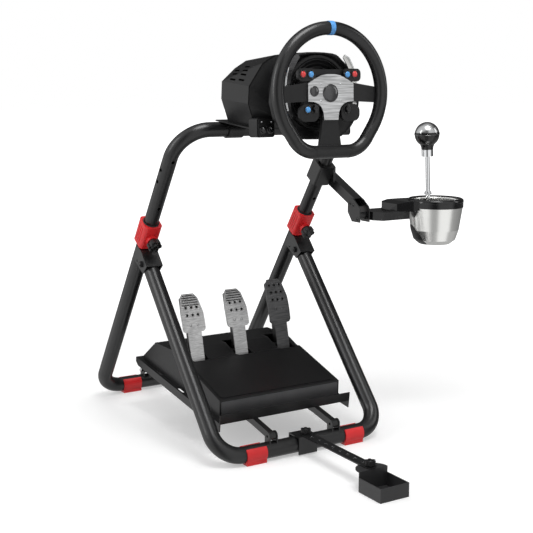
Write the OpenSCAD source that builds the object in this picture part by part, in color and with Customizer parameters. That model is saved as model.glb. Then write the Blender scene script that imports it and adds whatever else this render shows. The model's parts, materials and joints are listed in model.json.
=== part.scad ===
// Folding racing wheel stand: a tube frame of two U legs and a telescoping upper hoop that carries a
// game steering wheel, a gear shifter on a side arm, a tray with three pedals and a caster stop.
// +X is the driver's right, -Y is the driver's side, +Z is up. The origin is on the floor, midway
// between the two cross tubes.

/* [Frame] */
// Outside diameter of the leg tubes
tube_d = 38; // [34:0.5:42]
// Wall of the leg tubes and of the upper hoop
tube_wall = 1.5; // [1.2:0.1:2]
// Gap between each sliding or seated round fit, on the radius
fit_gap = 0.3; // [0.2:0.05:0.5]
// Width between the axes of the two uprights
frame_w = 440; // [420:1:480]
// Distance between the axes of the front and rear cross tubes
foot_span = 668; // [640:1:700]
// Bend radius of the leg tubes, at the tube axis
leg_bend_r = 60; // [55:1:70]
// Bend radius of the upper hoop, at the tube axis
hoop_bend_r = 78; // [70:1:90]
// Lean of the rear legs from vertical, towards the driver
rear_lean = 34.4; // [33:0.1:36]
// Lean of the front legs from vertical, away from the driver
front_lean = 41.5; // [40:0.1:43]
// Distance from the rear cross tube to the upper crossbar, along the rear legs
hoop_reach = 868; // [840:1:900]
// How far the hoop's ends reach down inside the rear legs
hoop_insert = 190; // [150:1:220]

/* [Fold hinge] */
// Distance of the fold bolt from the axis of the rear leg
pivot_off = 46; // [44:0.5:52]
// Length of the channel's cheeks along the rear leg, above the fold bolt's height
cheek_high = 23; // [20:1:26]
// Length of the channel's cheeks along the rear leg, below the fold bolt's height
cheek_low = 18; // [14:1:22]
// Diameter of the fold bolt
fold_bolt_d = 10; // [8:0.5:12]
// Plate thickness of the channel that holds the front leg's top
channel_t = 2.5; // [2:0.1:4]
// Length of the channel's web below the fold bolt
channel_low = 22; // [15:1:30]
// Length of the channel's web above the fold bolt
channel_high = 24; // [20:1:28]

/* [Collars and feet] */
// Side of the square red collar
collar_w = 45; // [44:1:60]
// Length of the collar along the leg
collar_len = 66; // [60:1:84]
// Corner radius of the collar
collar_r = 9; // [6:1:14]
// How far the collar reaches below the top of the leg tube
collar_grip = 48; // [40:1:52]
// Gap between the channel and the collar, along the leg
collar_clear = 4.7; // [3:0.1:10]
// Height of the collar's boss above the collar's lower end
boss_up = 28.8; // [24:0.2:34]
// Height of the boss that the clamping knob screws into
boss_h = 9; // [6:1:12]
// Diameter of the star knobs
knob_d = 34; // [28:1:38]
// Thickness of a star knob's head
knob_h = 13; // [10:1:16]
// Width of a foot pad along the tube
pad_w = 52; // [40:1:56]
// Thickness of a foot pad
pad_t = 3; // [2:0.5:4]
// Half of the opening at the top of a foot pad, in degrees
pad_open = 42; // [30:1:60]

/* [Pedal tray] */
// Width of the tray
tray_w = 362; // [350:1:370]
// Length of the tray
tray_len = 455; // [440:1:470]
// Thickness of the tray's sheet
tray_t = 2; // [1.5:0.1:3]
// Height of the tray's folded edges
tray_lip = 20; // [15:1:25]
// Distance of the tray's front edge from the front cross tube
tray_front = 69; // [60:1:80]
// Height of the tray's sheet above the floor at its front edge
tray_front_z = 78; // [76:1:90]
// Slope of the tray, up to the rear
tray_slope = 7.3; // [6:0.1:8]
// Height of the bolt holes in the cross tubes' ears
ear_z = 54; // [52:1:58]
// Distance between the two tray bars
bar_span = 172; // [150:1:200]
// Width of a tray bar
bar_w = 14; // [12:0.5:16]
// Height of a tray bar
bar_h = 16; // [12:0.5:18]
// Plate thickness of the ears
ear_t = 3; // [2:0.5:4]
// Diameter of the bolt holes in the ears and bars
ear_hole_d = 6.6; // [5:0.1:8]

/* [Pedals] */
// Width of the pedal housing
pedal_base_w = 334; // [320:1:345]
// Width of the housing beside the outer slots, at the right
slot_side = 13.5; // [12:0.5:30]
// Shift of the three pedals to the driver's right
pedal_shift = 6; // [0:1:8]
// Width of a pedal's face plate at its widest
face_w = 62; // [50:1:64]
// Width of a pedal's face plate at its top
face_top_w = 48; // [40:1:54]
// Height of a pedal's face plate
face_h = 96; // [80:1:100]
// Radius that a face plate is bowed to
face_bow = 260; // [200:10:400]
// Lean of the pedals, away from the driver
pedal_lean = 13; // [8:1:16]
// Thickness of a face plate
face_t = 4; // [3:0.5:5]
// Width of a pedal's stem
stem_w = 36; // [30:1:38]
// Width of the slots in the housing
slot_w = 46; // [44:1:52]
// Rise of the throttle's face plate above the other two
throttle_lift = 13; // [0:1:16]
// Diameter of the pedal axles
axle_d = 10; // [8:0.5:12]

/* [Wheel base] */
// Tilt of the wheel plate, down towards the driver
plate_tilt = 5; // [3:0.5:8]
// Width of the wheel plate
plate_w = 236; // [220:1:250]
// Length of the wheel plate in front of the crossbar
plate_len = 140; // [130:1:150]
// Thickness of the wheel plate
plate_t = 3; // [2:0.5:4]
// Width of the wheel base housing
base_w = 260; // [250:1:280]
// Height of the steering axis above the crossbar, square to the plate
hub_z = 109; // [105:1:115]
// Distance of the rim's plane from the crossbar, along the plate
hub_y = 267; // [260:1:275]
// Rake of the steering shaft, up from the plate
shaft_rake = 7; // [5:0.5:9]

/* [Steering wheel] */
// Radius of the rim, at the middle of the grip
rim_r = 132.7; // [125:0.1:140]
// Thickness of the rim's grip
grip_d = 28.2; // [25:0.1:32]
// Distance from the hub to the flat bottom of the rim, at the middle of the grip
flat_drop = 125; // [118:1:128]
// Radius of the rim's lower corners, at the middle of the grip
corner_r = 60; // [50:1:65]
// Diameter of the steering shaft
shaft_d = 24; // [20:1:28]

/* [Shifter] */
// Diameter of the shifter's ring
ring_d = 140; // [134:1:144]
// Height of the shifter's ring
ring_h = 18; // [16:1:20]
// Height of the cup below the ring
cup_h = 93; // [88:1:98]
// Wall of the cup
cup_t = 3; // [2:0.5:4]
// Diameter of the lever's rod
rod_d = 11; // [9:0.5:11]
// Distance between neighbouring slots of the gate
gate_pitch = 17.5; // [17:0.5:19]
// Reach of the gate's slots to each side of the middle
gate_reach = 19; // [16:0.5:20]
// Width of the gate's slots
gate_slot = 13.5; // [12:0.5:14]
// Height of the knob's middle above the gate
knob_rise = 164; // [150:1:170]
// Diameter of the shift knob
ball_d = 62; // [50:1:64]
// Lean of the lever to the driver's left
lever_lean = 3; // [0:0.5:4]
// Diameter of the shelf's pivot in the knuckle
shelf_pivot_d = 18; // [14:1:20]

/* [Caster stop] */
// Length of the perforated arm between its two knobs
stop_arm_len = 245; // [220:1:260]
// Width of the perforated arm
stop_arm_w = 28; // [24:1:30]
// Width of the caster cup across the arm
caster_w = 74; // [70:1:80]
// Length of the caster cup along the arm
caster_len = 75; // [70:1:80]
// Height of the caster cup
caster_h = 31; // [25:1:34]
// Wall of the caster cup
caster_t = 2; // [1.5:0.5:3]

/* [Hidden] */
$fn = 64;
tube_r = tube_d / 2;
bore_r = tube_r - tube_wall;
inner_r = bore_r - fit_gap;
axis_z = tube_r + pad_t;
rear_y = foot_span / 2;
front_y = -foot_span / 2;
half_w = frame_w / 2;

// The fold bolt lies on the front leg's axis, pivot_off in front of the rear leg's axis.
pivot_rise = (foot_span - pivot_off / cos(rear_lean)) / (tan(rear_lean) + tan(front_lean));
pivot_z = axis_z + pivot_rise;
pivot_y = front_y + pivot_rise * tan(front_lean);
front_leg_len = pivot_rise / cos(front_lean);
hinge_s = (rear_y - pivot_y) * sin(rear_lean) + pivot_rise * cos(rear_lean);
rear_leg_len = hinge_s + cheek_high + collar_clear + collar_grip;

// The crossbar of the upper hoop.
bar_y = rear_y - hoop_reach * sin(rear_lean);
bar_z = axis_z + hoop_reach * cos(rear_lean);

// The tray's front edge and its pivot at the rear ears.
tray_y = front_y + tray_front;
ear_gap = bar_w + 2;
bar_x = bar_span / 2;

// The pedal housing stands on the tray, and its floor follows the tray's slope.
pedal_pitch = pedal_base_w / 2 - slot_side - slot_w / 2 - pedal_shift;
pedal_back = 438;
pedal_front = 27;
housing_t = 3;
pivot_back = 242;
pivot_up = 22;

base_half = base_w / 2;
front_gap = 58;
panel_x = 101;
panel_y = -72;
panel_z = -100;
grip_r = grip_d / 2;

// The shifter stands beside and behind the rim.
cup_x = 451;
cup_y = -250;
ring_z = 536;
ring_r = ring_d / 2;
gate_z = ring_z + ring_h - 2;
lever_drop = 80;
lever_x = cup_x + 5.5;
lever_y = cup_y + 30;
lever_z = gate_z - lever_drop;
arm_x = half_w + 42;
arm_top_y = -56;
arm_top_z = 607;
arm_drop = 25.5;
arm_len = 132;
arm_w = 25;
knuckle_w = arm_w + 6.4;
knuckle_y = -191;
knuckle_z = 518.5;
shelf_t = 21;
shelf_z = knuckle_z - shelf_t / 2;

// The stop's arm lies on the clamp's top, square to the front cross tube.
clamp_t = 3;
stop_y = front_y - 12;
stop_z = axis_z + tube_r + fit_gap + clamp_t;
arm_t = 3;

// Places children on a rear leg, at a distance s along it, with +Z up the leg and -Y to the driver.
module on_rear_leg(side, s) {
    translate([side * half_w, rear_y, axis_z])
        rotate([rear_lean, 0, 0])
            translate([0, 0, s])
                children();
}

// Places children on a front leg, at a distance s along it, with +Z up the leg and -Y to the driver.
module on_front_leg(side, s) {
    translate([side * half_w, front_y, axis_z])
        rotate([-front_lean, 0, 0])
            translate([0, 0, s])
                children();
}

// Places children on the wheel plate: the origin is the crossbar's axis, +Z is square to the plate.
module on_plate() {
    translate([0, bar_y, bar_z])
        rotate([plate_tilt, 0, 0])
            children();
}

// Places children on the steering axis: the origin is the middle of the rim, +Z points to the driver
// and +Y to the top of the wheel.
module on_hub() {
    on_plate()
        translate([0, -hub_y, hub_z])
            rotate([90 - shaft_rake, 0, 0])
                children();
}

// Places children on the pedal tray: the origin is the middle of its front edge, on the sheet's top.
module on_tray() {
    translate([0, tray_y, tray_front_z])
        rotate([tray_slope, 0, 0])
            children();
}

// A rounded rectangle about the origin.
module rounded(w, l, r) {
    square([w - 2 * r, l], center = true);
    square([w, l - 2 * r], center = true);
    for (x = [-1, 1], y = [-1, 1])
        translate([x * (w / 2 - r), y * (l / 2 - r)])
            circle(r = r);
}

// One solid U of round bar in the XY plane, with its crossbar on X and its legs along +Y.
module u_bar(w, leg, bend, r) {
    translate([-w / 2 + bend, 0, 0])
        rotate([0, 90, 0])
            cylinder(r = r, h = w - 2 * bend);
    for (side = [0, 1])
        mirror([side, 0, 0]) {
            translate([w / 2 - bend, bend, 0])
                rotate([0, 0, -90])
                    rotate_extrude(angle = 90)
                        translate([bend, 0])
                            circle(r = r);
            translate([w / 2, bend, 0])
                rotate([-90, 0, 0])
                    cylinder(r = r, h = leg - bend);
        }
}

// A hollow U of tube, with open ends.
module u_tube(w, leg, bend, r, wall) {
    difference() {
        u_bar(w, leg, bend, r);
        u_bar(w, leg + 1, bend, r - wall);
    }
}

// A knob with six lobes, standing on the XY plane, with a threaded stem below it.
module star_knob(d, h, stem_d, stem) {
    lobes = 6;
    linear_extrude(height = h)
        difference() {
            circle(d = d);
            for (i = [0 : lobes - 1])
                rotate([0, 0, (i + 0.5) * 360 / lobes])
                    translate([d / 2 + d * 0.05, 0])
                        circle(d = d * 0.34);
        }
    translate([0, 0, -stem])
        cylinder(d = stem_d, h = stem);
}

module rear_frame_tube() {
    color("#202123")
        translate([0, rear_y, axis_z])
            rotate([90 + rear_lean, 0, 0])
                u_tube(frame_w, rear_leg_len, leg_bend_r, tube_r, tube_wall);
}

// The tops of the front legs are cut to stay within one tube radius of the fold bolt.
module front_frame_tube() {
    top = tube_r * cos(22.5);
    side = tube_r * sin(22.5);
    color("#202123")
        difference() {
            translate([0, front_y, axis_z])
                rotate([90 - front_lean, 0, 0])
                    u_tube(frame_w, front_leg_len + top, leg_bend_r, tube_r, tube_wall);
            for (x = [-1, 1])
                on_front_leg(x, front_leg_len) {
                    rotate([0, 90, 0])
                        cylinder(d = fold_bolt_d + 0.1, h = tube_d + 2, center = true);
                    for (y = [0, 1])
                        mirror([0, y, 0])
                            rotate([90, 0, -90])
                                linear_extrude(height = tube_d + 2, center = true)
                                    polygon([[tube_r, 0], [side + (top - side), side], [side, top],
                                        [side, top + 1], [tube_r + 1, top + 1], [tube_r + 1, 0]]);
                }
        }
}

// The channel straddles both legs: its web is the stop that the opened front leg leans on.
module leg_channel(side) {
    gap = tube_r + fit_gap;
    web = gap + channel_t;
    rear_foot = [pivot_off * cos(rear_lean + front_lean), pivot_off * sin(rear_lean + front_lean)];
    along = [-sin(rear_lean + front_lean), cos(rear_lean + front_lean)];
    low = rear_foot - cheek_low * along;
    high = rear_foot + cheek_high * along;
    color("#1b1c1e")
        difference() {
            on_front_leg(side, front_leg_len)
                rotate([90, 0, 90])
                    linear_extrude(height = 2 * web, center = true)
                        polygon([[-web, -channel_low], [-web, channel_high], high, low, [8, -channel_low]]);
            on_front_leg(side, front_leg_len)
                rotate([90, 0, 90])
                    linear_extrude(height = 2 * gap, center = true)
                        polygon([[-gap, -100], [-gap, 100], [100, 100], [100, -100]]);
            on_front_leg(side, front_leg_len)
                rotate([0, 90, 0])
                    cylinder(d = fold_bolt_d + 0.1, h = 3 * web, center = true);
        }
}

module leg_channel_left() { leg_channel(-1); }
module leg_channel_right() { leg_channel(1); }

module fold_bolts() {
    grip = 2 * (tube_r + fit_gap + channel_t);
    color("silver")
        for (x = [-1, 1])
            on_front_leg(x, front_leg_len)
                rotate([0, 90, 0]) {
                    cylinder(d = fold_bolt_d, h = grip, center = true);
                    for (end = [-1, 1])
                        translate([0, 0, end * (grip / 2 + 2.5)])
                            cylinder(d = 17, h = 5, center = true, $fn = 6);
                }
}

// A moulded collar with a boss on the driver's side, bored for the leg below and the hoop above.
module collar(side) {
    low = -collar_grip;
    color("#d01f26")
        on_rear_leg(side, rear_leg_len)
            difference() {
                union() {
                    translate([0, 0, low])
                        linear_extrude(height = collar_len)
                            rounded(collar_w, collar_w, collar_r);
                    translate([0, -collar_w / 2, low + boss_up])
                        rotate([90, 0, 0])
                            cylinder(d = 26, h = boss_h);
                }
                translate([0, 0, low - 1])
                    cylinder(r = tube_r + fit_gap, h = collar_grip + 1 + fit_gap);
                cylinder(r = inner_r + fit_gap, h = collar_len);
                translate([0, -collar_w / 2 - boss_h - 1, low + boss_up])
                    rotate([-90, 0, 0])
                        cylinder(d = 8.4, h = collar_w / 2);
            }
}

module collar_left() { collar(-1); }
module collar_right() { collar(1); }

module collar_knob(side) {
    color("#161719")
        on_rear_leg(side, rear_leg_len)
            translate([0, -collar_w / 2 - boss_h - 6, -collar_grip + boss_up])
                rotate([90, 0, 0]) {
                    star_knob(knob_d, knob_h, 8, 6 + boss_h);
                    translate([0, 0, -6])
                        cylinder(d = 20, h = 6);
                }
}

module collar_knob_left() { collar_knob(-1); }
module collar_knob_right() { collar_knob(1); }

// A clip that is open at the top and has a flat sole.
module foot_pad(x, y) {
    out = tube_r + pad_t;
    color("#c81e24")
        translate([x * (half_w - leg_bend_r - pad_w / 2), y, axis_z])
            rotate([90, 0, 90])
                linear_extrude(height = pad_w, center = true)
                    difference() {
                        union() {
                            circle(r = out);
                            translate([-out * 0.8, -out])
                                square([out * 1.6, out]);
                        }
                        circle(r = tube_r + fit_gap / 3);
                        polygon([[0, 0], [-2 * out * sin(pad_open), 2 * out * cos(pad_open)],
                            [2 * out * sin(pad_open), 2 * out * cos(pad_open)]]);
                    }
}

module foot_pad_rear_left() { foot_pad(-1, rear_y); }
module foot_pad_rear_right() { foot_pad(1, rear_y); }
module foot_pad_front_left() { foot_pad(-1, front_y); }
module foot_pad_front_right() { foot_pad(1, front_y); }

// Two pairs of upright ears on a cross tube, each pair straddling a tray bar with a little play.
module ears(y) {
    color("#1b1c1e")
        for (side = [-1, 1], ear = [-1, 1])
            translate([side * bar_x + ear * (ear_gap / 2 + ear_t / 2), y, axis_z])
                rotate([90, 0, 90])
                    linear_extrude(height = ear_t, center = true)
                        difference() {
                            union() {
                                translate([-11, tube_r - 6])
                                    square([22, ear_z - axis_z - tube_r + 6]);
                                translate([0, ear_z - axis_z])
                                    circle(r = 11);
                            }
                            circle(r = tube_r + 0.1);
                            translate([0, ear_z - axis_z])
                                circle(d = ear_hole_d);
                        }
}

// The rear ears keep their bolts, which the tray bars swing on.
module rear_ears() {
    grip = ear_gap + 2 * ear_t;
    ears(rear_y);
    color("#1b1c1e")
        for (side = [-1, 1])
            translate([side * bar_x, rear_y, ear_z])
                rotate([0, 90, 0]) {
                    cylinder(d = ear_hole_d - 0.1, h = grip, center = true);
                    for (end = [-1, 1])
                        translate([0, 0, end * (grip / 2 + 2)])
                            cylinder(d = 11.5, h = 4, center = true, $fn = 6);
                }
}

module front_ears() { ears(front_y); }

// The unit normal of a straight run, and the corner where two runs of one bar meet.
function run_normal(from, to) = [from[1] - to[1], to[0] - from[0]] / norm(to - from);
function bar_corner(n1, n2) = (n1 + n2) * (bar_h / 2) / (1 + n1 * n2);

// The bar lies under the tray from the front ears to the tray's rear, then drops to the rear ears.
module tray_bar(side) {
    under = tray_t + bar_h / 2;
    front = [front_y, ear_z];
    rise = [tray_y + under * sin(tray_slope) + 8, tray_front_z - under * cos(tray_slope) + 1];
    run = tray_len - 24;
    drop = rise + [run * cos(tray_slope), run * sin(tray_slope)];
    rear = [rear_y, ear_z];
    n1 = run_normal(front, rise);
    n2 = run_normal(rise, drop);
    n3 = run_normal(drop, rear);
    h = bar_h / 2;
    color("#1b1c1e")
        translate([side * bar_x, 0, 0])
            rotate([90, 0, 90])
                linear_extrude(height = bar_w, center = true)
                    difference() {
                        union() {
                            polygon([front - h * n1, rise - bar_corner(n1, n2), drop - bar_corner(n2, n3),
                                rear - h * n3, rear + h * n3, drop + bar_corner(n2, n3),
                                rise + bar_corner(n1, n2), front + h * n1]);
                            for (end = [front, rear])
                                translate(end)
                                    circle(r = h + 1.5);
                        }
                        for (end = [front, rear])
                            translate(end)
                                circle(d = ear_hole_d);
                    }
}

module tray_bar_left() { tray_bar(-1); }
module tray_bar_right() { tray_bar(1); }

// Folded sheet: a lip up at the front, flanges down at the sides, and slots for the pedal bolts.
module pedal_tray() {
    color("#1d1e20")
        on_tray()
            difference() {
                union() {
                    translate([-tray_w / 2, 0, -tray_t])
                        cube([tray_w, tray_len, tray_t]);
                    translate([-tray_w / 2, 0, -tray_t])
                        cube([tray_w, tray_t, tray_lip + tray_t]);
                    for (side = [-1, 1])
                        translate([side * (tray_w / 2 - tray_t / 2), 0, 0])
                            rotate([90, 0, 90])
                                linear_extrude(height = tray_t, center = true)
                                    polygon([[0, 0], [tray_len, 0], [tray_len, -tray_lip * 0.6],
                                        [tray_len - 14, -tray_lip], [0, -tray_lip]]);
                }
                for (side = [-1, 1], y = [90, 210, 330])
                    translate([side * (tray_w / 2 - 8), y, -tray_t - 1])
                        linear_extrude(height = tray_t + 2)
                            rounded(7, 30, 3);
            }
}

function pedal_x(i) = pedal_shift + i * pedal_pitch;

// The side profile of the pedal housing, drawn in by a wall.
function housing_profile(t) = [[pedal_front + t, 0], [pedal_front + 4 + t, 42 - t],
    [pedal_front + 184, 70 - t], [pedal_front + 196, 67 - t], [pedal_front + 248, 79 - t],
    [pedal_front + 346 - t / 2, 66 - t], [pedal_back - t, 8 - t], [pedal_back - t, 0]];

// The housing of the pedals: a moulded shell with a foot slope, a ridge, a raised rear with three
// slots, and a pair of ribs beside each slot that carry the pedal's axle.
module pedal_housing() {
    slot_y = pivot_back - 34;
    slot_len = 92;
    color("#17181a")
        on_tray()
            difference() {
                union() {
                    rotate([90, 0, 90])
                        linear_extrude(height = pedal_base_w, center = true)
                            difference() {
                                polygon(housing_profile(0));
                                polygon(concat(housing_profile(housing_t),
                                    [[pedal_back - housing_t, -1], [pedal_front + housing_t, -1]]));
                            }
                    for (side = [-1, 1])
                        translate([side * (pedal_base_w - housing_t) / 2, 0, 0])
                            rotate([90, 0, 90])
                                linear_extrude(height = housing_t, center = true)
                                    polygon(housing_profile(0));
                    for (i = [-1 : 1], side = [-1, 1])
                        translate([pedal_x(i) + side * (slot_w / 2 + 2), 0, 0])
                            rotate([90, 0, 90])
                                linear_extrude(height = 4, center = true)
                                    intersection() {
                                        polygon(housing_profile(0));
                                        translate([slot_y, 0])
                                            square([slot_len, 100]);
                                    }
                }
                for (i = [-1 : 1])
                    translate([pedal_x(i) - slot_w / 2, slot_y, 1])
                        cube([slot_w, slot_len, 100]);
                for (i = [-1 : 1])
                    translate([pedal_x(i), pivot_back, pivot_up])
                        rotate([0, 90, 0])
                            cylinder(d = axle_d + 0.1, h = slot_w + 9, center = true);
            }
}

module pedal_axles() {
    color("silver")
        on_tray()
            for (i = [-1 : 1])
                translate([pedal_x(i), pivot_back, pivot_up])
                    rotate([0, 90, 0])
                        cylinder(d = axle_d, h = slot_w + 8, center = true);
}

// Places children on a pedal's axle, with +Z up the pedal and -Y to the driver.
module on_axle(i) {
    on_tray()
        translate([pedal_x(i), pivot_back, pivot_up])
            rotate([-tray_slope - pedal_lean, 0, 0])
                children();
}

// The outline of a face plate, standing on the origin.
module face_outline() {
    intersection() {
        translate([0, face_h / 2])
            rounded(face_w, face_h, 10);
        polygon([[-face_w / 2, 0], [-face_w / 2, face_h * 0.5], [-face_top_w / 2, face_h * 0.88],
            [-face_top_w / 2 + 9, face_h], [face_top_w / 2 - 9, face_h], [face_top_w / 2, face_h * 0.88],
            [face_w / 2, face_h * 0.5], [face_w / 2, 0]]);
    }
}

// A stem that rises from the slot to a bowed face plate with rows of holes.
module pedal_face(i, lift, rows) {
    foot = 104 + lift;
    color("#a9abad")
        on_axle(i) {
            translate([-stem_w / 2, -22 - face_t, 24])
                cube([stem_w, face_t, foot - 18]);
            difference() {
                intersection() {
                    translate([0, face_bow - 22 - face_t, foot])
                        rotate([0, 90, 0])
                            difference() {
                                cylinder(r = face_bow, h = face_w, center = true, $fn = 180);
                                cylinder(r = face_bow - face_t, h = face_w + 2, center = true, $fn = 180);
                            }
                    translate([0, 0, foot])
                        rotate([90, 0, 0])
                            linear_extrude(height = 100, center = true)
                                face_outline();
                }
                for (row = [0 : rows - 1], col = [-1 : 1])
                    translate([col * 15, 0, foot + 42 + row * 19])
                        rotate([90, 0, 0])
                            cylinder(d = 7, h = 100, center = true);
            }
        }
}

module clutch_pedal() { pedal_face(-1, 0, 2); }
module brake_pedal() { pedal_face(0, 0, 2); }
module throttle_pedal() { pedal_face(1, throttle_lift, 3); }

// The arm behind the face, with the hub that turns on the axle.
module pedal_arm(i, lift) {
    top = 104 + lift + face_h * 0.5;
    color("#1a1b1d")
        on_axle(i)
            rotate([90, 0, 90])
                difference() {
                    union() {
                        cylinder(r = 12, h = 30, center = true);
                        linear_extrude(height = 20, center = true)
                            polygon([[-8, 0], [-22, 26], [-22, 104 + lift], [-20.5, 120 + lift],
                                [-12, top], [-4, top - 6], [4, 100 + lift], [8, 0]]);
                    }
                    cylinder(d = axle_d + 0.1, h = 40, center = true);
                }
}

module clutch_arm() { pedal_arm(-1, 0); }
module brake_arm() { pedal_arm(0, 0); }
module throttle_arm() { pedal_arm(1, throttle_lift); }

module upper_hoop_tube() {
    color("#202123")
        translate([0, bar_y, bar_z])
            rotate([rear_lean - 90, 0, 0])
                u_tube(frame_w, hoop_reach - rear_leg_len + hoop_insert, hoop_bend_r, inner_r, tube_wall);
}

// The plate is clamped round the crossbar by two saddles.
module wheel_plate() {
    top = inner_r + fit_gap + plate_t;
    saddle = 40;
    color("#1b1c1e")
        on_plate()
            difference() {
                union() {
                    translate([-plate_w / 2, -plate_len, inner_r + fit_gap])
                        cube([plate_w, plate_len + inner_r, plate_t]);
                    for (side = [-1, 1])
                        translate([side * 80 - saddle / 2, 0, 0])
                            rotate([0, 90, 0])
                                cylinder(r = top, h = saddle);
                }
                rotate([0, 90, 0])
                    cylinder(r = inner_r + fit_gap, h = frame_w, center = true);
            }
}

// Clamping knobs below the plate.
module plate_knobs() {
    color("#161719")
        on_plate()
            for (x = [-70, 70])
                translate([x, -96, inner_r + fit_gap - 10])
                    rotate([180, 0, 0]) {
                        star_knob(knob_d, knob_h, 8, 10);
                        translate([0, 0, -10])
                            cylinder(d = 18, h = 10);
                    }
}

// The housing's cross-section: square flanks, a tapered foot and a top with two slopes each side.
function section(w, low, high) = [[-w + 20, low], [w - 20, low], [w, 73], [w, 111], [w - 32, high - 20],
    [w - 60, high - 3], [w - 84, high], [84 - w, high], [60 - w, high - 3], [32 - w, high - 20], [-w, 111],
    [-w, 73]];

module slice(y, w, low, high) {
    translate([0, y, 0])
        rotate([90, 0, 0])
            linear_extrude(height = 0.5)
                polygon(section(w, low, high));
}

// The hood's outline at its front, about the steering axis.
function hood_side() = [[40, 85], [68, 70], [92, 47], [108, 12], [112, -20], [103, -54], [84, -80], [50, -98]];
function hood_outline(f) = concat([for (p = hood_side()) p * f], [for (i = [7 : -1 : 0])
    [-hood_side()[i][0], hood_side()[i][1]] * f]);

// The neck between the body and the hood, drawn in at the flanks.
function neck_side() = [[38, 84], [60, 70], [78, 47], [88, 12], [88, -20], [78, -46], [64, -62], [44, -74]];
function neck_outline() = concat(neck_side(), [for (i = [7 : -1 : 0])
    [-neck_side()[i][0], neck_side()[i][1]]]);

// One of the housing's outlines as a plate that begins at a height on the steering axis.
module ring_slab(points, z, h = 0.5) {
    translate([0, -hub_y, hub_z])
        rotate([90 - shaft_rake, 0, 0])
            translate([0, 0, z])
                linear_extrude(height = h)
                    polygon(points);
}

// The motor housing: a long body with square flanks, a drawn-in neck and a hood that flares out
// behind the wheel, with a block at each lower corner for a switch panel.
module base_housing() {
    low = inner_r + fit_gap + plate_t;
    color("#18191b") {
        on_plate() {
            hull() {
                slice(-14, base_half - 12, low + 14, 140);
                slice(-28, base_half, low, 160);
                slice(-146, base_half, low, 180);
            }
            hull() {
                slice(-145, base_half, low, 180);
                ring_slab(neck_outline(), -110);
            }
            ring_slab(neck_outline(), -110, 14);
            hull() {
                ring_slab(neck_outline(), -96.5);
                ring_slab(hood_outline(1), -68);
            }
            ring_slab(hood_outline(1), -68, 68.4 - front_gap);
        }
        on_hub()
            for (side = [-1, 1])
                translate([side * panel_x, panel_y, panel_z - 34])
                    linear_extrude(height = 33.9)
                        rounded(44, 42, 6);
    }
}

// A dished cowl that is the front bearing of the steering shaft.
module base_cowl() {
    color("#131416")
        on_hub()
            translate([0, 0, 0.5 - front_gap])
                rotate_extrude($fn = 96)
                    polygon([[shaft_d / 2 + 0.05, 0], [shaft_d / 2 + 0.05, 12], [30, 12], [34, 4], [56, 4],
                        [66, 8], [74, 12], [79, 12], [80, 8], [80, 0]]);
}

// A switch panel on each block at the housing's lower corners.
module control_panel(side) {
    color("#141517")
        on_hub()
            translate([side * panel_x, panel_y, panel_z])
                linear_extrude(height = 3)
                    rounded(40, 38, 5);
}

module control_panel_left() { control_panel(-1); }
module control_panel_right() { control_panel(1); }

module steering_shaft() {
    color("#2a2b2d")
        on_hub()
            translate([0, 0, 0.5 - front_gap])
                cylinder(d = shaft_d, h = front_gap - 0.5 - 22);
}

// The moulding behind the wheel's face, with ears for the shift paddles' pins.
module hub_core() {
    color("#151618")
        on_hub()
            difference() {
                union() {
                    translate([0, 0, -22])
                        linear_extrude(height = 12)
                            rounded(124, 96, 22);
                    for (x = [-1, 1], y = [-1, 1])
                        translate([x * 50 - 5, y * 21 - 2.5, -38])
                            cube([10, 5, 17]);
                }
                for (x = [-1, 1])
                    translate([x * 50, 0, -33])
                        rotate([90, 0, 0])
                            cylinder(d = 5.1, h = 60, center = true);
            }
}

// Rim: a round top joined by straight sides to two lower corners and a flat bottom.
rim_turn = 35;
corner_y = -flat_drop + corner_r;
corner_x = (rim_r - corner_r + corner_y * sin(rim_turn)) / cos(rim_turn);

module rim_arc(r, from, sweep, tube) {
    rotate([0, 0, from])
        rotate_extrude(angle = sweep, $fn = 128)
            translate([r, 0])
                circle(r = tube);
}

module rim_straight(from, to, tube) {
    run = to - from;
    translate([from[0], from[1], 0])
        rotate([0, 0, atan2(run[1], run[0])])
            rotate([0, 90, 0])
                cylinder(r = tube, h = norm(run));
}

// A seam of the grip's cover, square to the rim at one point of it.
module rim_seam(at, turn, tube) {
    translate([at[0], at[1], 0])
        rotate([0, 0, turn])
            rotate([90, 0, 0])
                cylinder(r = tube + 0.3, h = 3, center = true);
}

module rim_path(tube) {
    side_top = rim_r * [cos(rim_turn), -sin(rim_turn)];
    side_low = [corner_x, corner_y] + corner_r * [cos(rim_turn), -sin(rim_turn)];
    rim_arc(rim_r, -rim_turn, 180 + 2 * rim_turn, tube);
    for (side = [0, 1])
        mirror([side, 0, 0]) {
            translate([corner_x, corner_y, 0])
                rim_arc(corner_r, -90, 90 - rim_turn, tube);
            rim_straight(side_top, side_low, tube);
            rim_seam(side_top, -rim_turn, tube);
            rim_seam(side_low, -rim_turn, tube);
            rim_seam([corner_x, -flat_drop], 90, tube);
        }
    rim_straight([-corner_x, -flat_drop], [corner_x, -flat_drop], tube);
}

module steering_rim() {
    color("#151618")
        on_hub()
            rim_path(grip_r);
}

module rim_band() {
    color("#59a9e6")
        on_hub()
            difference() {
                rim_arc(rim_r, 87.5, 5, grip_r + 0.8);
                rim_arc(rim_r, 80, 20, grip_r + 0.05);
            }
}

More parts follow.
